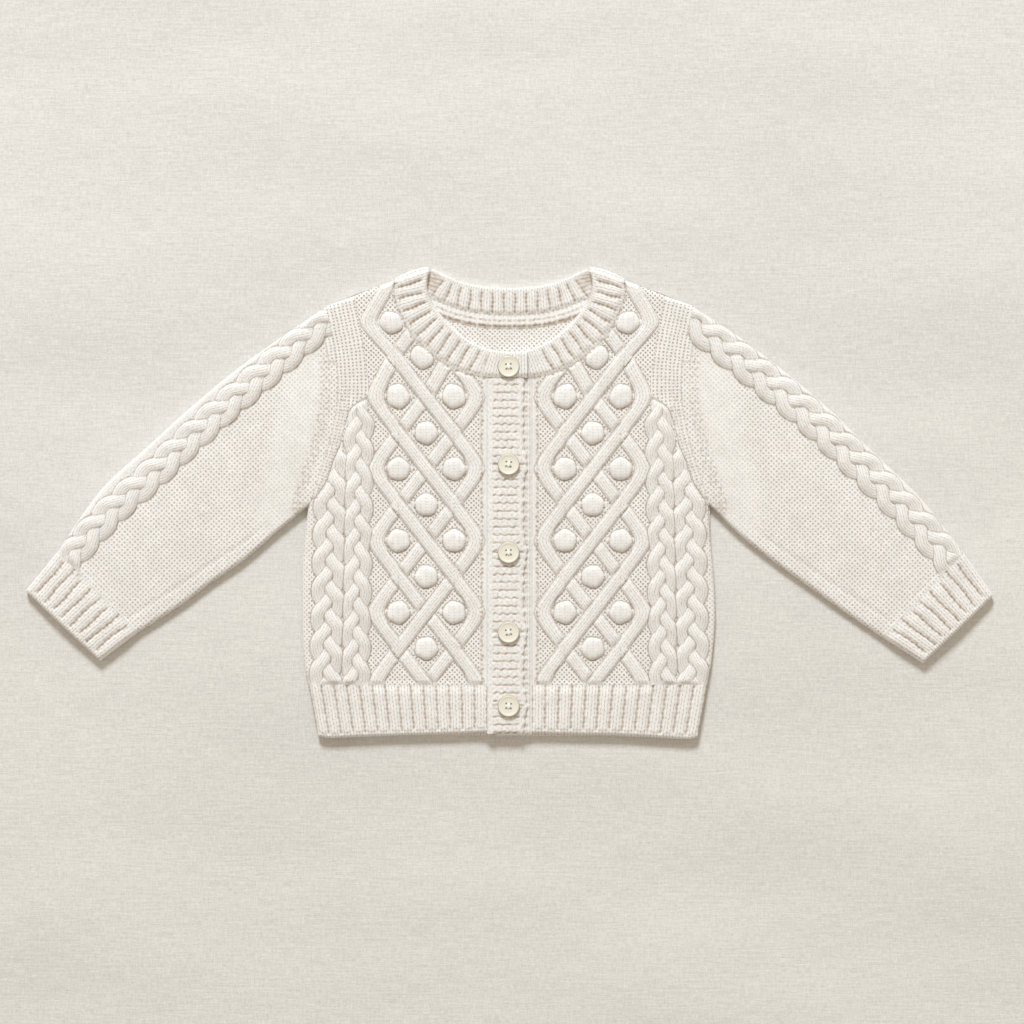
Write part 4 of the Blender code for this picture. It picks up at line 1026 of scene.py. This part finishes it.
def add_neckband(material):
    """A ribbed ring that folds over at each shoulder and laps at the front."""
    front_line, back_line = smooth_curve(NECK_FRONT, 12), smooth_curve(NECK_BACK, 12)
    middle = NECK_FRONT[0]
    lap = middle._replace(seam_out=-NECKBAND_LAP_END, rim_out=-NECKBAND_LAP_END)
    under = middle._replace(seam_out=NECKBAND_UNDER_END, rim_out=NECKBAND_UNDER_END)
    lap_line = smooth_rows((lap, middle), np.linspace(0, 0.99, 12))
    under_line = smooth_rows((middle, under), np.linspace(0.01, 1, 8))
    stretches = (
        (np.concatenate([lap_line, front_line]), RIGHT, "front"),
        (back_line, RIGHT, "back"),
        (back_line[::-1], LEFT, "back"),
        (np.concatenate([front_line[::-1], under_line]), LEFT, "under"),
    )
    parts, counted, first = [], [], 0.5
    for number, (line, side, place) in enumerate(stretches):
        rows, places = stations(line)
        skipped = 1 if number == 2 else 0  # the station that it shares with the stretch before
        parts.append([part[skipped:] for part in band_rings(rows, first + places, side, place)])
        counted.append((first + places)[skipped:])
        first = counted[-1][-1]
        if number in (0, 2):
            parts.append(fold_rings(NECK_FRONT[-1], side, opening=number == 0))
            counted.append(first + np.linspace(0, 1, len(parts[-1][0]) + 2)[1:-1])
            first += 1
    rings, valley = (np.concatenate(group) for group in zip(*parts))
    places = np.concatenate(counted)[:, None]
    width = np.hypot(*(rings[:, 0, :2] - rings[:, len(BAND_FACE) - 1, :2]).T)[:, None]
    along = np.concatenate([BAND_FACE, BAND_FACE[::-1]]) * width
    sewn = dashes(along - 0.3, places * NECK_RIB_PITCH, 0.7)
    shade_and_marks = deepest(valley, 1.2 * sewn)
    values = {"columns": np.ones_like(shade_and_marks), "depth": np.full_like(shade_and_marks, 0.8),
              "shade_and_marks": shade_and_marks}
    stitches = np.dstack([2 * places + 0 * along, along / RIB_STITCH.along])
    piece = add_knit("neckband", material, "rib_wool", rings, values, stitches)


# ---------------------------------------------------------------- front bands


def garter_valleys(x, level, from_edge):
    """The valleys between garter ridges, which end short of the seam and the free edge."""
    wave = 0.06 * np.sin(x * 2 * math.pi / 4.6 + level * 0.9) + 0.05 * np.sin(x * 1.1 + level * 0.4)
    reach = between(-12.2, -9.8, x) * between(2.6, 4.6, from_edge)
    broken = np.sin(x * 2 * math.pi / 3.1 + level * 2.3) * np.sin(x * 0.9 + level * 1.3)
    return valleys(level / GARTER_PITCH + wave, 0.115) * reach * (0.7 + 0.3 * broken)


def add_buttonhole_band(material):
    """The lapping band, in garter ridges, whose free edge swells a little at each button."""
    level = spread(BAND_FOOT, BAND_HEAD - GAP, RIB_STEP)[:, None]
    swell = np.max([np.exp(-(((level - button) / 9.0) ** 2)) for button in BUTTON_LEVELS], axis=0)
    ripple = 0.35 * np.sin(level * 2 * math.pi / GARTER_PITCH) + 0.3 * np.sin(level * 0.61 + 1.0)
    edge = 9.2 + 2.4 * swell + ripple
    seam = -BAND_OUT + SEAM
    x = seam + spread(0, 1, RIB_STEP / BUTTONHOLE_BAND_WIDE)[None] * (edge - seam)
    level = level + 0 * x
    from_edge = edge - x
    valley = garter_valleys(x, level, from_edge)
    holes = np.zeros_like(x)
    for button in BUTTON_LEVELS[1:]:
        slit = between(1.1, 0.3, np.abs(level - button))
        holes = np.maximum(holes, slit * between(11.2, 10.0, np.abs(x - BUTTON_OUT)))
        under_button = between(8.5, 6.5, np.hypot(x - BUTTON_OUT, level - button))
        valley = valley * (1 - 0.85 * under_button)
    knitting = Knitting(x, level, GARTER_STITCH, depth=0.2)
    lumps = 0.12 * np.sin(x * 1.37) * np.sin(level * 1.7)
    knitting.height = GARTER_HIGH - 0.45 * valley - 0.6 * holes + lumps
    # Painted shade in the garter valleys and buttonhole slits, and along the free edge where the
    # band steps down
    free = dashes(from_edge - 0.5, level, 0.7)
    shade_and_marks = deepest(1.5 * valley, 0.8 * holes, 0.8 * free)
    height = FRONT_TOP + lap_top(x) + knitting.height - 0.9
    rolled = softened(height, np.minimum(from_edge + 0.5, level - BAND_FOOT + 0.5), LAP_LOW + 0.7)
    points = np.dstack([x, level, np.where(x < LAP_END, height, rolled)])
    rings, values, stitches = with_underside(points, knitting, shade_and_marks, LAP_UNDERSIDE)
    foot, ones = level[:, 0], np.ones(len(level))
    bends = [np.stack([bend * ones, foot, low * ones], axis=1)
             for bend, low in ((LAP_END - 0.4, LAP_LOW), (LAP_START + 0.6, FRONT_LOW))]
    rings = np.concatenate([rings[:, :-1], np.stack(bends, axis=1), rings[:, -1:]], axis=1)
    values = {key: np.concatenate([value, value[:, -2:]], axis=1) for key, value in values.items()}
    stitches = np.concatenate([stitches, stitches[:, -2:]], axis=1)
    piece = add_knit("buttonhole_band", material, "band_wool", rings, values, stitches)


def add_button_band(material):
    """The band below, which shows where its stitches were picked up, and at its foot."""
    level = spread(BAND_FOOT - 1.2, BAND_HEAD - GAP, RIB_STEP)[:, None]
    part = spread(0, 1, RIB_STEP / BUTTON_BAND_WIDE)[None]
    x = BUTTON_BAND_REACH + part * (BAND_OUT - SEAM - BUTTON_BAND_REACH) + 0 * level
    level = level + 0 * x
    knitting = Knitting(x, level, CORD_STITCH, columns=0.8, depth=0.7)
    garter = 0.12 * np.sin(level * 2 * math.pi / GARTER_PITCH) * between(BAND_OUT, 13.0, x)
    knitting.height = garter + 0.4 + 1.3 * between(BAND_OUT, 12.0, x)
    from_edge = np.minimum(x - BUTTON_BAND_REACH, level - BAND_FOOT + 1.5)
    height = softened(FRONT_TOP - 0.35 + knitting.height, from_edge, FOLD_LOW)
    # Painted shadow of the lapping band's free edge, as a broken line along it
    shade_and_marks = 0.9 * dashes(x - 10.6, level, 1.2)
    piece = add_knit("button_band", material, "band_wool", *with_underside(
        np.dstack([x, level, height]), knitting, shade_and_marks, FRONT_UNDERSIDE))


# ---------------------------------------------------------------- buttons

BUTTON_SECTION = ((0.0, 0.0), (4.6, 0.0), (5.8, 0.3), (6.7, 0.8), (7.1, 1.35), (7.1, 1.7),
                  (6.85, 2.05), (6.4, 2.25), (6.0, 2.2), (5.5, 2.0), (5.0, 1.85), (4.2, 1.78),
                  (2.0, 1.72), (0.0, 1.7))
BUTTON_HOLES = ((1.55, 1.55), (-1.55, 1.55), (-1.55, -1.55), (1.55, -1.55))
HOLE_RADIUS, HOLE_LOW, PIN_LONG = 0.66, 1.25, 3.0
THREAD_RADIUS, THREAD_SHIFT, THREAD_LOW = 0.34, 0.3, 1.5
NEARNESS = 1e-7


def spun(name, section, steps):
    """A closed mesh from a section turned once round Z."""
    bm = bmesh.new()
    verts = [bm.verts.new((radius * MM, 0, height * MM)) for radius, height in section]
    edges = [bm.edges.new(pair) for pair in zip(verts[:-1], verts[1:])]
    bmesh.ops.spin(bm, geom=verts + edges, cent=(0, 0, 0), axis=(0, 0, 1), angle=2 * math.pi,
                   steps=steps, use_merge=True)
    return write_closed(bm, bpy.data.meshes.new(name), NEARNESS, capped=False)


def hole_pins():
    """The four pins that cut the holes of a button."""
    bm = bmesh.new()
    for east, north in BUTTON_HOLES:
        made = bmesh.ops.create_cone(bm, cap_ends=True, segments=20, radius1=HOLE_RADIUS * MM,
                                     radius2=HOLE_RADIUS * MM, depth=PIN_LONG * MM)
        centre = (east * MM, north * MM, (HOLE_LOW + PIN_LONG / 2) * MM)
        bmesh.ops.translate(bm, verts=made["verts"], vec=centre)
    pins = bpy.data.meshes.new("button_pins")
    bm.to_mesh(pins)
    bm.free()
    return pins


def drilled_button():
    """The mesh of one button with its four holes, centred on its own axis."""
    disc, pins = link("disc", spun("button_disc", BUTTON_SECTION, 64)), link("pins", hole_pins())
    cut = disc.modifiers.new("holes", "BOOLEAN")
    cut.operation, cut.object, cut.solver = "DIFFERENCE", pins, "EXACT"
    drilled = bpy.data.meshes.new_from_object(
        disc.evaluated_get(bpy.context.evaluated_depsgraph_get()))
    bpy.data.objects.remove(disc)
    bpy.data.objects.remove(pins)
    # The rim attribute marks where shade is painted: round the button's edge and down its holes
    rim = drilled.attributes.new("rim", "FLOAT", "POINT")
    spots = np.array([vert.co for vert in drilled.vertices]) / MM
    reach = np.hypot(spots[:, 0], spots[:, 1])
    in_hole = (reach < 3.2) & (spots[:, 2] > 0.5) & (spots[:, 2] < 1.4)
    rim.data.foreach_set("value", np.maximum(between(6.5, 6.9, reach), in_hole).astype(np.float32))
    return drilled


def thread_mesh():
    """The crossed sewing thread: two strands along each way between the holes."""
    bm = bmesh.new()
    paths = []
    for shift in (-THREAD_SHIFT, THREAD_SHIFT):
        paths.append((np.array((shift, -1.9)), np.array((shift, 1.9)), 2.3))
        paths.append((np.array((-1.5, shift)), np.array((1.5, shift)), 2.1))
    for start, end, crest in paths:
        verts = bmesh.ops.create_grid(bm, x_segments=8, y_segments=10, size=0.5)["verts"]
        along = (end - start) / np.hypot(*(end - start))
        normal = np.array((-along[1], along[0]))
        for vert in verts:
            angle, part = (vert.co.x + 0.5) * 2 * math.pi, vert.co.y + 0.5
            arch = min(1.0, math.sin(math.pi * min(max(part, 0.0), 1.0)) * 2.2)
            lift = THREAD_LOW + (crest - THREAD_LOW) * arch
            spot = start + part * (end - start) + normal * THREAD_RADIUS * math.cos(angle)
            vert.co = spot[0] * MM, spot[1] * MM, (lift + THREAD_RADIUS * math.sin(angle)) * MM
    return write_closed(bm, bpy.data.meshes.new("thread"), NEARNESS)


def add_buttons(resin, cotton):
    """Five buttons, each turned a little and sewn on with crossed thread."""
    disc, thread = drilled_button(), thread_mesh()
    for number, (level, degrees) in enumerate(zip(BUTTON_LEVELS, BUTTON_TURNS), 1):
        turn = Matrix.Rotation(math.radians(degrees), 4, "Z")
        place = Matrix.Translation((BUTTON_OUT * MM, level * MM, BUTTON_LOW * MM)) @ turn
        for kind, source, material in (("button", disc, resin), ("thread", thread, cotton)):
            mesh = source.copy()
            bm = bmesh.new()
            bm.from_mesh(mesh)
            bmesh.ops.transform(bm, matrix=place, verts=bm.verts)
            bm.to_mesh(mesh)
            bm.free()
            mesh.shade_smooth()
            mesh.set_sharp_from_angle(angle=math.radians(40))
            replaced = [f"button_{number}"] if kind == "button" else []
            add_piece(f"{kind}_{number}_sewn", mesh, material, replaced)


# ---------------------------------------------------------------- materials


class Nodes:
    """Adds nodes to a tree, and links or sets their inputs."""

    def __init__(self, tree):
        self.tree = tree

    def add(self, kind, inputs=(), **settings):
        node = self.tree.nodes.new(kind)
        for key, value in settings.items():
            setattr(node, key, value)
        for key, value in dict(inputs).items():
            self.put(node.inputs[key], value)
        return node

    def put(self, socket, value):
        if isinstance(value, bpy.types.NodeSocket):
            self.tree.links.new(value, socket)
        else:
            socket.default_value = value

    def math(self, operation, *values, clamp=False):
        node = self.add("ShaderNodeMath", operation=operation, use_clamp=clamp)
        for socket, value in zip(node.inputs, values):
            self.put(socket, value)
        return node.outputs[0]

    def times(self, first, second, plus=None, clamp=False):
        if plus is None:
            return self.math("MULTIPLY", first, second, clamp=clamp)
        return self.math("MULTIPLY_ADD", first, second, plus, clamp=clamp)

    def mix(self, factor, first, second, kind="FLOAT"):
        sockets = {"Factor": factor, "A": first, "B": second}
        return self.add("ShaderNodeMix", sockets, data_type=kind).outputs["Result"]

    def blend(self, factor, first, second):
        return self.mix(factor, first, second, "RGBA")

    def between(self, low, high, value):
        sockets = {"Value": value, "From Min": low, "From Max": high}
        node = self.add("ShaderNodeMapRange", sockets, interpolation_type="SMOOTHSTEP")
        return node.outputs["Result"]

    def noise(self, place, scale, detail, roughness=0.5):
        sockets = {"Vector": place, "Scale": scale, "Detail": detail, "Roughness": roughness}
        return self.add("ShaderNodeTexNoise", sockets).outputs

    def stretched(self, place, scale):
        return self.add("ShaderNodeMapping", {"Vector": place, "Scale": scale}).outputs["Vector"]

    def object_place(self):
        return self.add("ShaderNodeTexCoord").outputs["Object"]

    def attribute(self, name):
        return self.add("ShaderNodeAttribute", attribute_name=name).outputs["Fac"]

    def bump(self, height, distance):
        sockets = {"Height": height, "Strength": 1.0, "Distance": distance}
        return self.add("ShaderNodeBump", sockets).outputs["Normal"]


def new_group(name, inputs, outputs):
    """A node group with named sockets, as its tree, its nodes, and the two sets of sockets."""
    tree = bpy.data.node_groups.new(name, "ShaderNodeTree")
    for in_out, sockets in (("INPUT", inputs), ("OUTPUT", outputs)):
        for socket, kind in sockets.items():
            tree.interface.new_socket(name=socket, in_out=in_out, socket_type=f"NodeSocket{kind}")
    nodes = Nodes(tree)
    given, result = nodes.add("NodeGroupInput").outputs, nodes.add("NodeGroupOutput").inputs
    return tree, nodes, given, result


def new_material(name, constants):
    """A material with the constants set on its shader, its nodes, and its shader's sockets."""
    material = bpy.data.materials.new(name)
    material.use_nodes = True
    sockets = material.node_tree.nodes["Principled BSDF"].inputs
    for socket, value in constants.items():
        sockets[socket].default_value = value
    return material, Nodes(material.node_tree), sockets


def stitch_group():
    """The gaps between moss or knit stitches, and the beat of the rows, from their coordinates."""
    tree, nodes, given, result = new_group(
        "knitted_stitches", dict.fromkeys(("Across", "Along", "Columns"), "Float"),
        dict.fromkeys(("Gap", "Beat"), "Float"))
    columns = given["Columns"]
    round_across = nodes.times(given["Across"], 2 * math.pi)
    round_along = nodes.times(given["Along"], 2 * math.pi)
    wave = nodes.math("COSINE", round_across)
    column = nodes.math("ABSOLUTE", wave)
    # Moss stitch has its gaps in staggered rows, and columns have longer gaps, one below the other.
    aligned = nodes.times(columns, 8.0, clamp=True)
    along_wave = nodes.times(aligned, 0.4, nodes.math("COSINE", round_along))
    moss = nodes.times(nodes.mix(aligned, wave, column), along_wave)
    column = nodes.times(columns, -2.0, column)
    dots = nodes.times(nodes.between(0.12, 0.75, moss), nodes.between(0.3, 0.75, column))
    ridge = nodes.math("ABSOLUTE", nodes.math("SINE", round_across))
    furrow = nodes.math("SUBTRACT", 1.0, nodes.between(0.0, 0.6, ridge))
    slant = nodes.math("SUBTRACT", nodes.math("FRACT", given["Across"]), 0.5)
    slanted = nodes.times(nodes.math("ABSOLUTE", slant), 5.0, round_along)
    notch = nodes.between(-0.2, 1.0, nodes.math("COSINE", slanted))
    knit = nodes.times(furrow, nodes.times(notch, 0.55, 0.35))
    nodes.put(result["Gap"], nodes.mix(columns, dots, knit))
    nodes.put(result["Beat"], nodes.between(-0.8, 0.7, nodes.math("COSINE", round_along)))
    return tree


def fibre_group():
    """Fine, fuzzy unevenness of spun wool, and the slow change of shade along the yarn."""
    tree, nodes, given, result = new_group(
        "spun_fibre", {"Place": "Vector"},
        dict.fromkeys(("Fuzz", "Shade", "Wander", "Drift"), "Float"))
    place = given["Place"]
    wander = nodes.noise(place, 260.0, 1.5)["Color"]
    moved = nodes.add("ShaderNodeSeparateColor", {"Color": wander}).outputs
    nodes.put(result["Fuzz"], nodes.noise(place, 1000.0, 3.0, 0.7)["Fac"])
    nodes.put(result["Shade"], nodes.noise(place, 90.0, 2.0, 0.6)["Fac"])
    nodes.put(result["Wander"], nodes.math("SUBTRACT", moved["Red"], 0.5))
    nodes.put(result["Drift"], nodes.math("SUBTRACT", moved["Green"], 0.5))
    return tree


# The brown here is painted shade: the colour that gaps, hollows and creases take in place of their
# shadow
CREAM, PAINTED_SHADE_BROWN = (0.90, 0.884, 0.88), (0.40, 0.295, 0.205)
GAP_PAINTED_SHADE = 0.9
WOOL = {"Roughness": 0.95, "Specular IOR Level": 0.2, "Sheen Weight": 0.2, "Sheen Roughness": 0.6,
        "Subsurface Weight": 0.35, "Subsurface Radius": (1.0, 0.9, 0.8),
        "Subsurface Scale": 1.6 * MM}


def wool_material(name, knitted, spun_wool, stitch_depth):
    """Cream wool, with brown painted shade in the gaps and hollows between its stitches."""
    material, nodes, shader = new_material(name, WOOL)
    coordinates = nodes.add("ShaderNodeUVMap", uv_map="stitches").outputs["UV"]
    split = nodes.add("ShaderNodeSeparateXYZ", {"Vector": coordinates}).outputs
    fibre = nodes.add("ShaderNodeGroup", node_tree=spun_wool)
    nodes.put(fibre.inputs["Place"], nodes.object_place())
    fibre = fibre.outputs
    stitches = nodes.add("ShaderNodeGroup", node_tree=knitted)
    nodes.put(stitches.inputs["Across"], nodes.times(fibre["Wander"], 0.3, split["X"]))
    nodes.put(stitches.inputs["Along"], nodes.times(fibre["Drift"], 0.5, split["Y"]))
    nodes.put(stitches.inputs["Columns"], nodes.attribute("columns"))
    # Painted shade: the gaps between stitches, and the hollows, creases and marks carried on the
    # mesh, are darkened towards brown; the speckle is the yarn's own uneven tone
    gap = nodes.times(stitches.outputs["Gap"], nodes.attribute("depth"))
    broken = nodes.times(nodes.between(-0.2, 0.1, fibre["Drift"]), 0.35, 0.25)
    shade_and_mark_tint = nodes.times(nodes.attribute("shade_and_marks"),
                         nodes.times(stitches.outputs["Beat"], 0.4, broken))
    speckle = nodes.times(fibre["Fuzz"], 0.95, -0.39)
    shade_marks_and_speckle = nodes.math("MAXIMUM", nodes.times(gap, GAP_PAINTED_SHADE, speckle), shade_and_mark_tint, clamp=True)
    faded = tuple(part * 0.93 for part in CREAM)
    mottled = nodes.blend(nodes.between(0.3, 0.7, fibre["Shade"]), (*CREAM, 1), (*faded, 1))
    nodes.put(shader["Base Color"], nodes.blend(shade_marks_and_speckle, mottled, (*PAINTED_SHADE_BROWN, 1)))
    surface = nodes.times(fibre["Fuzz"], 0.5, nodes.math("SUBTRACT", 1.0, gap))
    nodes.put(shader["Normal"], nodes.bump(surface, stitch_depth * MM))
    return material


RESIN_TONES, RESIN_EDGE_AND_HOLE_SHADE = ((0.84, 0.80, 0.72, 1), (0.79, 0.75, 0.65, 1)), (0.42, 0.36, 0.22, 1)
COTTON_TONES = (0.96, 0.95, 0.93, 1), (0.86, 0.85, 0.81, 1)


def resin_material():
    material, nodes, shader = new_material("cream_resin", {"Roughness": 0.34, "Coat Weight": 0.2})
    clouded = nodes.blend(nodes.noise(nodes.object_place(), 260.0, 3.0)["Fac"], *RESIN_TONES)
    # Painted shade: darker olive round the edge and in the holes
    nodes.put(shader["Base Color"], nodes.blend(nodes.attribute("rim"), clouded, RESIN_EDGE_AND_HOLE_SHADE))
    return material


def cotton_material():
    material, nodes, shader = new_material("sewing_cotton", {"Roughness": 0.8})
    twist = nodes.noise(nodes.object_place(), 3000.0, 2.0)["Fac"]
    nodes.put(shader["Base Color"], nodes.blend(twist, *COTTON_TONES))
    return material


LINEN_DARK, LINEN_PALE = (0.595, 0.575, 0.555, 1), (0.815, 0.795, 0.77, 1)
# Fineness of the noise that draws the fine threads and the slubs, each first one way, then across
LINEN_THREADS = ((300.0, 1500.0, 1.0), (1500.0, 300.0, 1.0))
LINEN_SLUBS = ((60.0, 700.0, 1.0), (700.0, 90.0, 1.0))
LINEN_CLOUDS = (4.0, 14.0, 1.0)


def linen_material():
    material, nodes, shader = new_material("linen", {"Roughness": 0.95, "Specular IOR Level": 0.2})
    place = nodes.object_place()
    one, other, long_slub, cross_slub = (
        nodes.noise(nodes.stretched(place, scale), 1.0, 1.5)["Fac"]
        for scale in LINEN_THREADS + LINEN_SLUBS)
    weave = nodes.times(nodes.math("ADD", one, other), 0.5)
    slubs = nodes.times(cross_slub, 0.4, nodes.times(long_slub, 0.6))
    slubbed = nodes.times(slubs, 0.4, nodes.times(weave, 0.6))
    cloud = nodes.noise(nodes.stretched(place, LINEN_CLOUDS), 1.0, 3.0)["Fac"]
    tone = nodes.between(0.32, 0.68, nodes.times(cloud, 0.2, nodes.times(slubbed, 0.8)))
    nodes.put(shader["Base Color"], nodes.blend(tone, LINEN_DARK, LINEN_PALE))
    nodes.put(shader["Normal"], nodes.bump(slubbed, 0.3 * MM))
    return material


# ---------------------------------------------------------------- stage

FLOOR_HALF = 2.0
CAMERA_PLACE, CAMERA_LENS, CAMERA_SENSOR = (0.0016, -0.0057, 1.855), 100.0, 36.0
WORLD_COLOUR, WORLD_STRENGTH = (1.0, 0.89, 0.73, 1.0), 0.56
WINDOW_PLACE, WINDOW_SIZE = np.array((-0.6, 4.1, 3.35)), 1.4
WINDOW_POWER, WINDOW_COLOUR = 271.0, (0.864, 0.94, 0.985)


def add_floor():
    bm = bmesh.new()
    bmesh.ops.create_grid(bm, x_segments=1, y_segments=1, size=FLOOR_HALF)
    mesh = bpy.data.meshes.new("floor")
    bm.to_mesh(mesh)
    bm.free()
    mesh.materials.append(linen_material())
    floor = link("floor", mesh)


def add_window_light():
    """A soft, round light high behind the neck, which points at the cardigan."""
    light = bpy.data.lights.new("window", "AREA")
    light.shape, light.size = "DISK", WINDOW_SIZE
    light.energy, light.color = WINDOW_POWER, WINDOW_COLOUR
    lamp = link("window", light)
    lamp.location = WINDOW_PLACE
    away = -WINDOW_PLACE
    tilt = math.atan2(math.hypot(away[0], away[1]), -away[2])
    lamp.rotation_euler = (tilt, 0, math.atan2(-away[0], away[1]))


def add_camera():
    camera = bpy.data.cameras.new("camera")
    camera.lens, camera.sensor_width = CAMERA_LENS, CAMERA_SENSOR
    holder = link("camera", camera)
    holder.location = CAMERA_PLACE
    bpy.context.scene.camera = holder


def set_stage():
    scene = bpy.context.scene
    scene.view_settings.view_transform = "Standard"
    world = bpy.data.worlds.new("studio")
    scene.world = world
    world.use_nodes = True
    background = world.node_tree.nodes["Background"].inputs
    background["Color"].default_value = WORLD_COLOUR
    background["Strength"].default_value = WORLD_STRENGTH
    add_window_light()
    add_floor()
    add_camera()


# ---------------------------------------------------------------- all together


def main():
    groups = stitch_group(), fibre_group()
    body = wool_material("body_knit", *groups, 0.35)
    rib = wool_material("rib_knit", *groups, 0.3)
    garter = wool_material("garter_knit", *groups, 0.3)
    set_stage()

    def add_pair(add, part, material):
        for side, word in ((RIGHT, "right"), (LEFT, "left")):
            add(side, f"{part}_{word}", material)

    add_pair(add_front, "front", body)
    add_back(body)
    add_pair(add_hem, "hem", rib)
    add_hem_back(rib)
    add_pair(add_sleeve, "sleeve", body)
    add_pair(add_cuff, "cuff", rib)
    add_neckband(rib)
    add_buttonhole_band(garter)
    add_button_band(garter)
    add_buttons(resin_material(), cotton_material())


main()
